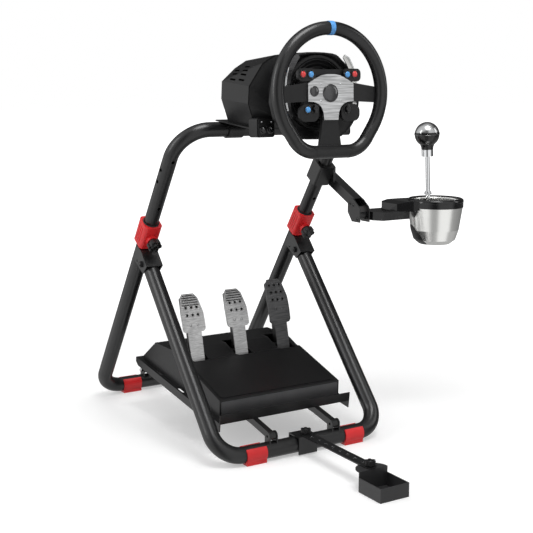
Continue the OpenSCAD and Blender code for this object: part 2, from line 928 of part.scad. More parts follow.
// Three flat spokes in one plate that ends at the rim.
module wheel_spokes() {
    reach = rim_r - grip_r + 3;
    color("#1a1b1d")
        on_hub()
            difference() {
                translate([0, 0, -10])
                    linear_extrude(height = 8)
                        polygon([[-reach, -22], [-60, -19], [-20, -24], [-20, -60], [-28, -flat_drop + grip_r - 3],
                            [28, -flat_drop + grip_r - 3], [20, -60], [20, -24], [60, -19], [reach, -22],
                            [reach, 11], [60, 20], [-60, 20], [-reach, 11]]);
                rim_arc(rim_r, 150, 60, grip_r + 0.05);
                rim_arc(rim_r, -30, 60, grip_r + 0.05);
                rim_straight([-40, -flat_drop], [40, -flat_drop], grip_r + 0.05);
            }
}

// Half of the hub plate's outline, from its top to its foot.
function plate_side() = [[9, 37.5], [24, 35], [42, 27], [58, 18], [58, -19], [43, -20], [33, -24], [25, -31],
    [20, -42], [18, -58]];

// The brushed plate round the horn button.
module hub_plate() {
    color("#b9bbbd")
        on_hub()
            translate([0, 0, -2])
                linear_extrude(height = 4)
                    polygon(concat(plate_side(), [for (i = [9 : -1 : 0])
                        [-plate_side()[i][0], plate_side()[i][1]]]));
}

// Four switch pods below the level of the hub plate.
module button_pods() {
    color("#141517")
        on_hub()
            for (x = [-1, 1]) {
                translate([x * 58, 36, -10])
                    linear_extrude(height = 8)
                        rounded(44, 27, 10);
                translate([x * 53, -43, -10])
                    linear_extrude(height = 8)
                        rounded(48, 36, 15);
            }
}

// A curved blade on a barrel whose pin turns in the hub's ears.
module paddle(side) {
    color("silver")
        on_hub()
            translate([side * 50, 0, -33]) {
                rotate([90, 0, 0])
                    cylinder(d = 5, h = 46, center = true);
                rotate([90, 0, 0])
                    cylinder(d = 8, h = 35, center = true);
                mirror([side < 0 ? 1 : 0, 0, 0])
                    translate([0, 0, -1.5])
                        linear_extrude(height = 3)
                            polygon([[0, -13], [31, -13], [29, -34], [23, -49], [28, -54], [37, -38], [41, -10],
                                [41, 20], [34, 52], [22, 74], [10, 80], [6, 74], [14, 62], [25, 42], [31, 14],
                                [0, 14]]);
            }
}

module paddle_left() { paddle(-1); }
module paddle_right() { paddle(1); }

// A clamp round the right upright, with a cheek on its outer side for the shifter's arm.
module shifter_clamp() {
    color("#1b1c1e") {
        on_rear_leg(1, 728)
            difference() {
                linear_extrude(height = 56, center = true)
                    rounded(46, 46, 6);
                cylinder(r = inner_r + fit_gap, h = 80, center = true);
            }
        translate([(half_w + 22.5 + arm_x - arm_w / 2) / 2, arm_top_y - 16, arm_top_z + 5])
            cube([arm_x - arm_w / 2 - half_w - 22.5, 56, 44], center = true);
    }
}

// A square tube from the clamp down to the knuckle.
module shifter_arm() {
    color("#1b1c1e")
        translate([arm_x, arm_top_y, arm_top_z])
            rotate([arm_drop, 0, 0])
                rotate([90, 0, 0])
                    linear_extrude(height = arm_len)
                        difference() {
                            square(arm_w, center = true);
                            square(arm_w - 4, center = true);
                        }
}

// Two cheeks beside the arm's end that hold the shelf's pivot.
module shifter_knuckle() {
    color("#161719")
        translate([arm_x, 0, 0])
            for (side = [-1, 1])
                translate([side * (knuckle_w / 2 - 1.5), 0, 0])
                    rotate([90, 0, 90])
                        linear_extrude(height = 3, center = true)
                            difference() {
                                polygon([[-158, 526], [-158, 556], [-166, 560], [-180, 560], [-205, 542],
                                    [-208, 536], [-208, 504], [-176, 504]]);
                                translate([knuckle_y, knuckle_z])
                                    circle(d = shelf_pivot_d + 0.1);
                            }
}

// The shelf that the shifter is clamped to, with the pivot it is levelled on.
module shifter_shelf() {
    left = arm_x + knuckle_w / 2 + 5;
    color("#1b1c1e") {
        translate([0, 0, shelf_z])
            linear_extrude(height = shelf_t)
                polygon([[left, -150], [left, -214], [left + 16, -237], [380, -237], [380, -150]]);
        translate([arm_x - knuckle_w / 2, knuckle_y, knuckle_z])
            rotate([0, 90, 0])
                cylinder(d = shelf_pivot_d, h = knuckle_w + 6);
    }
}

// The black ring, drawn out into a tongue that stands on the shelf.
module shifter_ring() {
    color("#0d0e10")
        difference() {
            union() {
                translate([cup_x, cup_y, ring_z])
                    cylinder(r = ring_r, h = ring_h);
                intersection() {
                    translate([0, 0, shelf_z + shelf_t])
                        linear_extrude(height = 60)
                            polygon([[cup_x - 20, cup_y - 50], [372, -262], [340, -236], [330, -220],
                                [330, -188], [346, -166], [cup_x - 10, cup_y + 66]]);
                    rotate([90, 0, 0])
                        linear_extrude(height = 500)
                            polygon([[330, shelf_z + shelf_t], [330, shelf_z + shelf_t + 3], [340, 547],
                                [362, 553], [400, ring_z + ring_h], [450, ring_z + ring_h], [450, ring_z],
                                [382, ring_z], [380, shelf_z + shelf_t]]);
                }
            }
            translate([cup_x, cup_y, ring_z - 20])
                cylinder(r = ring_r - 6, h = ring_h + 60);
        }
}

// A tapered shell with a floor and two posts for the lever's cradle.
module shifter_cup() {
    low = -cup_h;
    color("#c3c5c6") {
        translate([cup_x, cup_y, ring_z])
            rotate_extrude($fn = 96)
                polygon([[0, low], [38, low], [52, low + 11], [60, low + 36], [ring_r - 1.5, 0],
                    [ring_r - 1.5 - cup_t, 0], [60 - cup_t, low + 36.5], [51 - cup_t, low + 12.5],
                    [37, low + cup_t], [0, low + cup_t]]);
        for (side = [-1, 1])
            translate([lever_x, lever_y + side * 17, 0])
                difference() {
                    translate([-8, -3, ring_z - cup_h + 1])
                        cube([16, 6, lever_z + 8 - ring_z + cup_h - 1]);
                    translate([0, 0, lever_z])
                        rotate([90, 0, 0])
                            cylinder(d = 6.1, h = 10, center = true);
                }
    }
}

// The shift gate: a plate with three slots and the channel that joins them, under a beaded rim.
module shifter_gate() {
    color("#c9cbcc")
        translate([0, 0, gate_z - 4])
            difference() {
                union() {
                    translate([cup_x, cup_y, 0])
                        cylinder(r = ring_r - 6.1, h = 4);
                    translate([cup_x, cup_y, 4])
                        rotate_extrude($fn = 96)
                            translate([ring_r - 9, 0])
                                circle(r = 2.6);
                }
                for (i = [-1 : 1])
                    translate([lever_x - 4.2 + i * gate_pitch, lever_y, -1])
                        linear_extrude(height = 6)
                            rounded(gate_slot, 2 * gate_reach + gate_slot, gate_slot / 2 - 0.01);
                translate([lever_x - 4.2, lever_y, -1])
                    linear_extrude(height = 6)
                        rounded(2 * gate_pitch + gate_slot, gate_slot, gate_slot / 2 - 0.01);
            }
}

// The cradle tips sideways on its two pins, and the lever swings fore and aft inside it.
module lever_cradle() {
    color("#2a2b2d")
        translate([lever_x, lever_y, lever_z]) {
            difference() {
                cube([26, 26, 14], center = true);
                cube([12, 19, 30], center = true);
                rotate([0, 90, 0])
                    cylinder(d = 6.1, h = 40, center = true);
            }
            for (side = [-1, 1])
                translate([0, side * 16, 0])
                    rotate([90, 0, 0])
                        cylinder(d = 6, h = 8, center = true);
        }
}

// Places children on the lever's pivot, with +Z up the leaning lever.
module on_lever() {
    translate([lever_x, lever_y, lever_z])
        rotate([0, -lever_lean, 0])
            children();
}

module gear_lever() {
    top = lever_drop + knob_rise;
    color("#d0d2d3") {
        on_lever() {
            translate([0, 0, -5])
                cylinder(d = 8, h = 30);
            translate([0, 0, 20])
                cylinder(d = rod_d, h = top - 20 - 40);
            translate([0, 0, top - 55])
                cylinder(r = 14.5, h = 17);
        }
        translate([lever_x, lever_y, lever_z])
            rotate([0, 90, 0])
                cylinder(d = 6, h = 25, center = true);
    }
}

// The lower half of the ball, drawn down to the ferrule.
module gear_knob() {
    r = ball_d / 2;
    color("#0c0d0f")
        on_lever()
            translate([0, 0, lever_drop + knob_rise])
                rotate_extrude($fn = 96)
                    polygon(concat([for (a = [0 : 5 : 55]) r * [cos(a), -sin(a)]],
                        [[15.5, -31], [14.5, -38], [0, -38], [0, 0]]));
}

module gear_knob_cap() {
    r = ball_d / 2;
    color("#b4b6b8")
        on_lever()
            translate([0, 0, lever_drop + knob_rise])
                rotate_extrude($fn = 96)
                    intersection() {
                        circle(r = r);
                        square(r + 1);
                    }
}

// An upside-down channel over the front cross tube, with a tongue under the arm.
module stop_clamp() {
    gap = tube_r + fit_gap;
    color("#1b1c1e") {
        translate([0, front_y, axis_z])
            difference() {
                translate([-25, -gap - clamp_t, -gap])
                    cube([50, 2 * gap + 2 * clamp_t, 2 * gap + clamp_t]);
                translate([-26, -gap, -gap - 1])
                    cube([52, 2 * gap, 2 * gap + 1]);
            }
    }
}

module stop_clamp_knob() {
    color("#161719")
        translate([0, stop_y, stop_z + arm_t]) {
            cylinder(d = 12, h = 3);
            translate([0, 0, 3])
                star_knob(24, 9, 6, 3);
        }
}

// A flat perforated arm.
module stop_arm() {
    color("#1b1c1e")
        translate([0, stop_y, stop_z])
            linear_extrude(height = arm_t)
                difference() {
                    translate([0, -stop_arm_len / 2])
                        rounded(stop_arm_w, stop_arm_len + stop_arm_w, stop_arm_w / 2 - 0.01);
                    for (i = [0 : 9])
                        translate([0, -i * stop_arm_len / 9])
                            circle(d = 6.5);
                }
}

// A tray for one chair caster: an open cup with a round-ended flange under the arm.
module caster_cup() {
    far = stop_y - stop_arm_len;
    color("#1b1c1e") {
        translate([0, far - 10, 0])
            difference() {
                translate([-caster_w / 2, -caster_len, 0])
                    cube([caster_w, caster_len, caster_h]);
                translate([-caster_w / 2 + caster_t, -caster_len + caster_t, caster_t])
                    cube([caster_w - 2 * caster_t, caster_len - 2 * caster_t, caster_h]);
            }
        translate([-caster_w / 2, far - 10 - caster_t, caster_h - 1])
            cube([caster_w, caster_t, stop_z - caster_h + 1]);
        translate([0, far - 10, stop_z - caster_t])
            linear_extrude(height = caster_t)
                difference() {
                    union() {
                        intersection() {
                            circle(d = caster_w);
                            translate([-caster_w, 0])
                                square([2 * caster_w, caster_w]);
                        }
                        translate([-caster_w / 2, -caster_t])
                            square([caster_w, caster_t + 1]);
                    }
                    translate([0, 10])
                        circle(d = 6.5);
                }
    }
}

module caster_knob() {
    color("#161719")
        translate([0, stop_y - stop_arm_len, stop_z + arm_t]) {
            cylinder(d = 12, h = 3);
            translate([0, 0, 3])
                star_knob(24, 9, 6, 3);
        }
}

rear_frame_tube();
front_frame_tube();
leg_channel_left();
leg_channel_right();
fold_bolts();
collar_left();
collar_right();
collar_knob_left();
collar_knob_right();
foot_pad_rear_left();
foot_pad_rear_right();
foot_pad_front_left();
foot_pad_front_right();
rear_ears();
front_ears();
tray_bar_left();
tray_bar_right();
pedal_tray();
pedal_housing();
pedal_axles();
clutch_pedal();
brake_pedal();
throttle_pedal();
clutch_arm();
brake_arm();
throttle_arm();
upper_hoop_tube();
wheel_plate();
plate_knobs();
base_housing();
base_cowl();
control_panel_left();
control_panel_right();
steering_shaft();
hub_core();
steering_rim();
rim_band();
wheel_spokes();
hub_plate();
button_pods();
paddle_left();
paddle_right();
shifter_clamp();
shifter_arm();
shifter_knuckle();
shifter_shelf();
shifter_ring();
shifter_cup();
shifter_gate();
lever_cradle();
gear_lever();
gear_knob();
gear_knob_cap();
stop_clamp();
stop_clamp_knob();
stop_arm();
caster_cup();
caster_knob();
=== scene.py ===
# %% [markdown]
# # Dressing a folding racing wheel stand
# The construction of this stand comes from a CAD model: bent tubes, plates, joints and housings, all
# at their real size in metres. This lesson adds what a camera sees on top of that: finishes, small
# fittings and the fine detail of the steering wheel, the pedals and the shifter. The CAD model could
# be traced again in Blender, but then a leg that folds would no longer fit its hinge. So the CAD
# parts stay as they are, and every new piece rides on one of the moving bodies.

import json
import math

import bmesh
import bpy
from mathutils import Matrix, Vector


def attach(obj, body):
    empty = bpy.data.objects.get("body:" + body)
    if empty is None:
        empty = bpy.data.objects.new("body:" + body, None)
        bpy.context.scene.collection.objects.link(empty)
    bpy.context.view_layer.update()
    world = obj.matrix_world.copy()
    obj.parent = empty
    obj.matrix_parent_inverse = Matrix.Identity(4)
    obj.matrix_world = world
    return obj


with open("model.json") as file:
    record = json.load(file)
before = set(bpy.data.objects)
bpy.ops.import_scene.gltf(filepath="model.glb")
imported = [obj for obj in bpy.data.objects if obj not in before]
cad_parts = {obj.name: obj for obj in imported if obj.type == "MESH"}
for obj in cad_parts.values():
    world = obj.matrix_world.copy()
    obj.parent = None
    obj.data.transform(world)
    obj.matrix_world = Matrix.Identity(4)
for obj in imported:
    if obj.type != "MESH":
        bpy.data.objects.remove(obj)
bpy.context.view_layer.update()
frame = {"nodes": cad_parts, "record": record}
MM = 0.001

# %% [markdown]
# ## The camera and the floor
# The picture is taken from the driver's left, a little above the steering wheel, with a long lens.
# A long lens keeps the far leg nearly as large as the near one. The floor and the air around the
# stand are white, because a catalogue picture has no room in it, yet the floor keeps a soft shadow.

# %% The camera
CAMERA_PLACE = Vector((-1301.1, -2295.7, 842.5)) * MM
CAMERA_DOWN = 9.808
CAMERA_TURN = -31.503
CAMERA_LENS = 71.679

camera_data = bpy.data.cameras.new("photo_camera")
camera_data.lens = CAMERA_LENS
camera_data.sensor_width = 36.0
camera = bpy.data.objects.new("photo_camera", camera_data)
bpy.context.scene.collection.objects.link(camera)
camera.location = CAMERA_PLACE
camera.rotation_euler = (math.radians(90 - CAMERA_DOWN), 0, math.radians(CAMERA_TURN))
bpy.context.scene.camera = camera
bpy.context.scene.view_settings.view_transform = "Standard"
print("camera", [round(v, 3) for v in camera.location], "lens", camera_data.lens)


# %% [markdown]
# ## Light
# Black parts show their shape by what they mirror, so the lamps are large soft panels: one overhead,
# one on each side, and one behind. Mirrors don't show the one behind, since it would lie as a hard
# white patch on the housing's glossy shoulder. The room itself is plain grey for diffuse light and
# white where the camera looks into it. A mirror sees the same white room, but with darker parts
# between the bright ones, or every chromed piece would look like plain paper.


# %% The lamps
def soft_panel(name, place, aim, size, power):
    lamp = bpy.data.lights.new(name, "AREA")
    lamp.shape = "RECTANGLE"
    lamp.size, lamp.size_y = size
    lamp.energy = power
    panel = bpy.data.objects.new(name, lamp)
    bpy.context.scene.collection.objects.link(panel)
    panel.location = place
    panel.rotation_euler = (Vector(aim) - Vector(place)).to_track_quat("-Z", "Y").to_euler()
    return panel


soft_panel("panel_top", (-0.1, -1.1, 2.9), (0, 0, 0.4), (1.3, 1.3), 40)
soft_panel("panel_left", (-2.5, 0.3, 1.5), (0, 0, 0.5), (0.6, 1.8), 18)
soft_panel("panel_right", (2.6, -1.6, 1.7), (0, 0, 0.5), (0.7, 1.8), 12)
back_lamp = soft_panel("panel_back", (0.5, 2.6, 2.4), (0, 0, 0.5), (1.4, 1.0), 18)
back_lamp.visible_glossy = False


# %% Helpers for node trees
def map_range(tree, value, source=(0.0, 1.0), target=(0.0, 1.0), smooth=False):
    ramp = tree.nodes.new("ShaderNodeMapRange")
    ramp.interpolation_type = "SMOOTHSTEP" if smooth else "LINEAR"
    ramp.inputs["From Min"].default_value, ramp.inputs["From Max"].default_value = source
    ramp.inputs["To Min"].default_value, ramp.inputs["To Max"].default_value = target
    tree.links.new(value, ramp.inputs["Value"])
    return ramp.outputs["Result"]


def combine(tree, operation, one, two):
    step = tree.nodes.new("ShaderNodeMath")
    step.operation = operation
    tree.links.new(one, step.inputs[0])
    tree.links.new(two, step.inputs[1])
    return step.outputs[0]


def mix_shader(tree, factor, one, two):
    mixed = tree.nodes.new("ShaderNodeMixShader")
    for socket, value in zip(mixed.inputs, (factor, one, two)):
        tree.links.new(value, socket)
    return mixed.outputs[0]


print("node helpers ready")

# %% The world
ROOM_FOR_DIFFUSE = 0.45
MIRROR_OVERHEAD, MIRROR_BELOW, MIRROR_DARK = 0.75, 0.45, 0.07
world = bpy.data.worlds.new("white_room")
bpy.context.scene.world = world
world.use_nodes = True
room_tree = world.node_tree
nodes, links = room_tree.nodes, room_tree.links
nodes.clear()


def room(strength):
    light = nodes.new("ShaderNodeBackground")
    light.inputs["Color"].default_value = (1, 1, 1, 1)
    light.inputs["Strength"].default_value = strength
    return light


def bright_side(degrees, width):
    """1 where a ray leaves towards this compass direction, fading to 0 at `width` degrees from it."""
    towards = math.radians(degrees)
    aim = nodes.new("ShaderNodeVectorMath")
    aim.operation = "DOT_PRODUCT"
    aim.inputs[1].default_value = (math.cos(towards), math.sin(towards), 0)
    links.new(level.outputs["Vector"], aim.inputs[0])
    edge, core = math.cos(math.radians(width)), math.cos(math.radians(width * 0.45))
    return map_range(room_tree, aim.outputs["Value"], (edge, core), smooth=True)


heading = nodes.new("ShaderNodeTexCoord")
height = nodes.new("ShaderNodeSeparateXYZ")
links.new(heading.outputs["Generated"], height.inputs[0])
flat = nodes.new("ShaderNodeVectorMath")
flat.operation = "MULTIPLY"
flat.inputs[1].default_value = (1, 1, 0)
links.new(heading.outputs["Generated"], flat.inputs[0])
level = nodes.new("ShaderNodeVectorMath")
level.operation = "NORMALIZE"
links.new(flat.outputs["Vector"], level.inputs[0])
overhead = map_range(room_tree, height.outputs["Z"], (0.72, 1.0), (0.0, MIRROR_OVERHEAD))
from_below = map_range(room_tree, height.outputs["Z"], (-0.05, -0.45), (0.0, MIRROR_BELOW))
brightest = bright_side(-84, 44)
for other in (bright_side(160, 68), from_below, overhead):
    brightest = combine(room_tree, "MAXIMUM", brightest, other)
diffuse_room, mirror_room, seen_white = room(ROOM_FOR_DIFFUSE), room(1.0), room(1.0)
links.new(map_range(room_tree, brightest, target=(MIRROR_DARK, 1.0)), mirror_room.inputs["Strength"])
ray = nodes.new("ShaderNodeLightPath").outputs
for_mirrors = mix_shader(room_tree, ray["Is Glossy Ray"], diffuse_room.outputs[0], mirror_room.outputs[0])
seen_directly = combine(room_tree, "MAXIMUM", ray["Is Camera Ray"], ray["Is Transmission Ray"])
for_camera = mix_shader(room_tree, seen_directly, for_mirrors, seen_white.outputs[0])
links.new(for_camera, nodes.new("ShaderNodeOutputWorld").inputs["Surface"])
print("world nodes:", len(nodes))

# %% [markdown]
# ## A floor that keeps only the shadow
# The floor is pale and matt. Near the stand it is a real surface that takes a soft shadow. Further out
# it turns into plain white, so that no horizon shows. The change follows the distance from the middle
# of the floor, in the floor's own coordinates, and so looks the same from every side. Mirrors look
# through the floor into the room, so that chrome shows the room's bright and dark sides and not one
# even white sheet.

# %% The floor
FLOOR_GLOW = 0.38
WHITE_FROM, WHITE_BY = 0.75, 1.9
bpy.ops.mesh.primitive_plane_add(size=60, location=(0, 0, -0.0005))
floor = bpy.context.object
floor.name = "floor"
floor_paint = bpy.data.materials.new("floor_paint")
floor_paint.use_nodes = True
floor_tree = floor_paint.node_tree
n, link = floor_tree.nodes, floor_tree.links
floor_shader = n["Principled BSDF"]
floor_shader.inputs["Base Color"].default_value = (0.70, 0.70, 0.70, 1)
floor_shader.inputs["Roughness"].default_value = 0.9
floor_shader.inputs["Specular IOR Level"].default_value = 0.1
floor_place = n.new("ShaderNodeTexCoord")
distance = n.new("ShaderNodeVectorMath")
distance.operation = "LENGTH"
link.new(floor_place.outputs["Object"], distance.inputs[0])
far_out = map_range(floor_tree, distance.outputs["Value"], (WHITE_FROM, WHITE_BY), smooth=True)
floor_ray = n.new("ShaderNodeLightPath").outputs
seen_far = combine(floor_tree, "MULTIPLY", far_out, floor_ray["Is Camera Ray"])
plain_white = n.new("ShaderNodeEmission")
blend = mix_shader(floor_tree, seen_far, floor_shader.outputs[0], plain_white.outputs[0])
glow = n.new("ShaderNodeEmission")
glow.inputs["Strength"].default_value = FLOOR_GLOW
dark = n.new("ShaderNodeEmission")
dark.inputs["Strength"].default_value = 0.0
seen_glow = mix_shader(floor_tree, floor_ray["Is Camera Ray"], dark.outputs[0], glow.outputs[0])
together = n.new("ShaderNodeAddShader")
link.new(blend, together.inputs[0])
link.new(seen_glow, together.inputs[1])
see_room = n.new("ShaderNodeBsdfTransparent")
for_gloss = mix_shader(floor_tree, floor_ray["Is Glossy Ray"], together.outputs[0], see_room.outputs[0])
link.new(for_gloss, n["Material Output"].inputs["Surface"])
floor.data.materials.append(floor_paint)
print("floor laid")


# %% [markdown]
# ## Finishes
# Every finish starts from one Principled shader. What makes it a finish, and not a flat colour, is a
# little variation: the colour drifts over centimetres, the gloss drifts over millimetres, and a fine
# bump catches the light. Coordinates are the object's own, in metres, so a scale of 400 means grains
# of about 2.5 mm on every part alike.


# %% A helper for finishes
def noise_at(tree, place, scale, detail):
    noise = tree.nodes.new("ShaderNodeTexNoise")
    noise.inputs["Scale"].default_value = scale
    noise.inputs["Detail"].default_value = detail
    tree.links.new(place, noise.inputs["Vector"])
    return noise.outputs["Fac"]


def multiplied(tree, factor):
    """A colour mix that multiplies; the colour to be multiplied goes into its input 6."""
    mix = tree.nodes.new("ShaderNodeMix")
    mix.data_type = "RGBA"
    mix.blend_type = "MULTIPLY"
    mix.inputs["Factor"].default_value = 1.0
    tree.links.new(factor, mix.inputs[7])
    return mix


def finish(name, colour, rough, metal=0.0, drift=0.12, grain=500.0, bump=0.06, stretch=(1, 1, 1),
           coat=0.0, gloss_drift=0.08, specular=0.5, streak=0.0, depth=0.0004):
    paint = bpy.data.materials.new(name)
    paint.use_nodes = True
    paint.diffuse_color = (*colour, 1)
    tree = paint.node_tree
    n, link = tree.nodes, tree.links
    shader = n["Principled BSDF"]
    shader.inputs["Metallic"].default_value = metal
    shader.inputs["Coat Weight"].default_value = coat
    shader.inputs["Coat Roughness"].default_value = 0.12
    shader.inputs["Specular IOR Level"].default_value = specular
    place = n.new("ShaderNodeTexCoord").outputs["Object"]
    # Slow drift of the colour.
    slow = noise_at(tree, place, 14.0, 3.0)
    tint = multiplied(tree, map_range(tree, slow, (0.3, 0.7), (1 - drift, 1 + drift)))
    tint.inputs[6].default_value = (*colour, 1)
    # Fine grain for the gloss and the bump.
    stretched = n.new("ShaderNodeMapping")
    stretched.inputs["Scale"].default_value = stretch
    link.new(place, stretched.inputs["Vector"])
    fine = noise_at(tree, stretched.outputs["Vector"], grain, 4.0)
    smoothest, roughest = max(0.02, rough - gloss_drift), min(1.0, rough + gloss_drift)
    link.new(map_range(tree, fine, target=(smoothest, roughest)), shader.inputs["Roughness"])
    # The same grain darkens and lightens the colour where the metal is brushed.
    brushed = multiplied(tree, map_range(tree, fine, (0.3, 0.7), (1 - streak, 1 + streak)))
    link.new(tint.outputs[2], brushed.inputs[6])
    link.new(brushed.outputs[2], shader.inputs["Base Color"])
    relief = n.new("ShaderNodeBump")
    relief.inputs["Strength"].default_value = bump
    relief.inputs["Distance"].default_value = depth
    link.new(fine, relief.inputs["Height"])
    link.new(relief.outputs["Normal"], shader.inputs["Normal"])
    return paint


FINISHES = {}


def keep(slot, *look, **grain):
    FINISHES[slot] = finish(*look, **grain)
    return FINISHES[slot]


# %% [markdown]
# ## Powder coat, sheet and plastic
# The tubes are steel under a satin black powder coat. Powder flows out while it bakes and leaves a
# faint orange peel, which is a bump about a millimetre wide. The red fittings and black housings are
# moulded plastic: the red is glossy, the black has the fine grain of an etched mould.

# %% Paint and plastic
keep("black_paint", "powder_coat", (0.0095, 0.0095, 0.010), 0.31, grain=700, bump=0.2)
keep("dark_sheet", "sheet_coat", (0.009, 0.009, 0.0095), 0.36, grain=900, bump=0.22, specular=0.42)
keep("bent_sheet", "bent_sheet", (0.030, 0.030, 0.031), 0.42, grain=900, bump=0.2, specular=0.45)
keep("red_plastic", "red_moulding", (0.74, 0.022, 0.026), 0.38, grain=600, bump=0.12, specular=0.45)
keep("black_plastic", "grained_black", (0.0065, 0.0065, 0.007), 0.40, grain=1600, bump=0.25, specular=0.4)
keep("black_gloss", "gloss_black", (0.006, 0.006, 0.0065), 0.14, grain=300, bump=0.01, gloss_drift=0.03)
print("finishes:", ", ".join(FINISHES))

# %% [markdown]
# ## Metal
# Brushed metal is the same noise squeezed in one direction, so that it turns into long scratches.
# The scratches run across the driver's view on the hub and the pedals, and round the shifter's cup.

# %% Metals
keep("steel", "plated_steel", (0.55, 0.56, 0.57), 0.3, metal=1, grain=500, bump=0.05)
keep("brushed_aluminium", "brushed_hub", (0.60, 0.605, 0.61), 0.36, metal=1, drift=0.05, grain=420,
     stretch=(0.05, 1, 1), bump=0.5, gloss_drift=0.14, streak=0.4)
keep("pedal_aluminium", "brushed_pedal", (0.45, 0.45, 0.45), 0.4, metal=0.9, drift=0.14, grain=900,
     stretch=(0.07, 1, 1), bump=0.4, gloss_drift=0.12, streak=0.4)
keep("dark_aluminium", "dark_pedal", (0.10, 0.10, 0.102), 0.4, metal=0.6, drift=0.2, grain=520,
     stretch=(0.06, 1, 1), bump=0.5, gloss_drift=0.12, streak=0.4)
keep("cup_aluminium", "spun_cup", (0.84, 0.84, 0.82), 0.24, metal=1, drift=0.04, grain=900,
     stretch=(1, 1, 0.04), bump=0.05, gloss_drift=0.06)
keep("chrome", "bright_chrome", (0.80, 0.81, 0.82), 0.12, metal=1, drift=0.03, grain=900, bump=0.02,
     gloss_drift=0.03)
keep("satin_chrome", "satin_ball", (0.46, 0.465, 0.47), 0.26, metal=1, drift=0.05, grain=900,
     bump=0.004, gloss_drift=0.05)
print("metals ready:", len(FINISHES))

# %% [markdown]
# ## Leather
# The rim is wrapped in smooth black leather. Leather has small cells, so a Voronoi texture would
# show them, but at this size a dense noise with a stronger bump reads the same and stays calm.

# %% Leather
keep("wheel_grip", "black_leather", (0.007, 0.007, 0.0075), 0.30, grain=1500, bump=0.22, drift=0.2)
keep("blue_band", "blue_leather", (0.10, 0.36, 0.80), 0.4, grain=1500, bump=0.4, drift=0.08)
keep("rubber", "soft_rubber", (0.012, 0.012, 0.013), 0.6, grain=1500, bump=0.3)
print("finishes in all:", len(FINISHES))

# %% Give every CAD node its finish
# These nodes look unlike the material slot that their record names.
# The two paddles are the same aluminium. The right one takes the bright cup finish as painted light, and the
# left one the dark pedal finish as painted shade.
OTHER_FINISH = {
    "shifter_cup": "cup_aluminium", "shifter_gate": "cup_aluminium", "paddle_right": "cup_aluminium",
    "fold_bolts": "black_paint", "pedal_axles": "black_paint", "lever_cradle": "black_paint",
    "paddle_left": "dark_aluminium", "caster_cup": "bent_sheet", "gear_knob_cap": "satin_chrome",
}
record = frame["record"]
slot_of = {part["node"]: part["material_slot"] for part in record["subparts"]}
for node_name, node_object in frame["nodes"].items():
    wanted = OTHER_FINISH.get(node_name, slot_of[node_name])
    node_object.data.materials.clear()
    node_object.data.materials.append(FINISHES[wanted])
print("dressed", len(frame["nodes"]), "CAD nodes")

# %% [markdown]
# ## Where things are
# The small pieces are drawn in millimetres about their own middle, and a matrix carries them to the
# place they sit on. Each matrix below repeats one placement of the CAD model: the wheel plate, the
# steering axis, the pedal tray, the pedals' axles, a leg, and the gear lever.


# %% Frames of reference, in millimetres
def move(x, y, z):
    return Matrix.Translation((x, y, z))


def turn(axis, degrees):
    return Matrix.Rotation(math.radians(degrees), 4, axis)


PLATE = move(0, -156.391, 738.199) @ turn("X", 5)
HUB = PLATE @ move(0, -267, 109) @ turn("X", 83)
TRAY = move(0, -265, 78) @ turn("X", 7.3)
LEVER = move(456.5, -220, 472) @ turn("Y", -3)
LEG_X, FOOT_Y, FOOT_Z, REAR_LEAN, FRONT_LEAN = 220, 334, 22, 34.4, -41.5
PEDAL_SHIFT, PEDAL_PITCH = 6, 124.5


def rear_leg(side, along):
    return move(LEG_X * side, FOOT_Y, FOOT_Z) @ turn("X", REAR_LEAN) @ move(0, 0, along)


def front_leg(side, along):
    return move(LEG_X * side, -FOOT_Y, FOOT_Z) @ turn("X", FRONT_LEAN) @ move(0, 0, along)


def pedal_axle(place):
    return TRAY @ move(PEDAL_SHIFT + PEDAL_PITCH * place, 242, 22) @ turn("X", -20.3)


print("steering axis at", [round(v, 1) for v in HUB.translation])

# %% [markdown]
# ## Three ways to make a small shape
# Nearly every fitting is one of three things: something turned on a lathe, a rounded outline with
# some thickness, or a rod that follows a path. A modifier stack could do the same, but a mesh built
# in code has exactly the edges it needs, and its corners are softened right away with a bevel, since
# no moulded or machined edge is perfectly sharp.


# %% Turned, cut out, or drawn along a path
def circle(radius, height=0.0, steps=24):
    angles = [2 * math.pi * i / steps for i in range(steps)]
    return [(radius * math.cos(a), radius * math.sin(a), height) for a in angles]


def turned(profile, steps=40):
    shape = bmesh.new()
    rings = []
    for radius, height in profile:
        if radius < 1e-6:
            rings.append([shape.verts.new((0, 0, height))])
            continue
        rings.append([shape.verts.new(spot) for spot in circle(radius, height, steps)])
    for low, high in zip(rings, rings[1:]):
        for i in range(steps):
            j = (i + 1) % steps
            corners = [low[i % len(low)], low[j % len(low)], high[j % len(high)], high[i % len(high)]]
            shape.faces.new(list(dict.fromkeys(corners)))
    bmesh.ops.recalc_face_normals(shape, faces=shape.faces)
    return shape


def rounded_outline(width, length, radius, steps=6):
    points = []
    for x, y, start in ((1, 1, 0), (-1, 1, 90), (-1, -1, 180), (1, -1, 270)):
        for i in range(steps + 1):
            a = math.radians(start + 90 * i / steps)
            points.append((x * (width / 2 - radius) + radius * math.cos(a),
                           y * (length / 2 - radius) + radius * math.sin(a)))
    return points


def slab(outline, low, high, soften=0.0):
    shape = bmesh.new()
    base = shape.faces.new([shape.verts.new((x, y, low)) for x, y in outline])
    top = bmesh.ops.extrude_face_region(shape, geom=[base])["geom"]
    for vertex in top:
        if isinstance(vertex, bmesh.types.BMVert):
            vertex.co.z = high
    bmesh.ops.recalc_face_normals(shape, faces=shape.faces)
    if soften:
        rims = [e for e in shape.edges if all(len(f.verts) > 4 or len(outline) == 4 for f in e.link_faces)
                or abs(e.verts[0].co.z - e.verts[1].co.z) < 1e-6]
        bmesh.ops.bevel(shape, geom=rims, offset=soften, segments=2, affect="EDGES", clamp_overlap=True)
    return shape


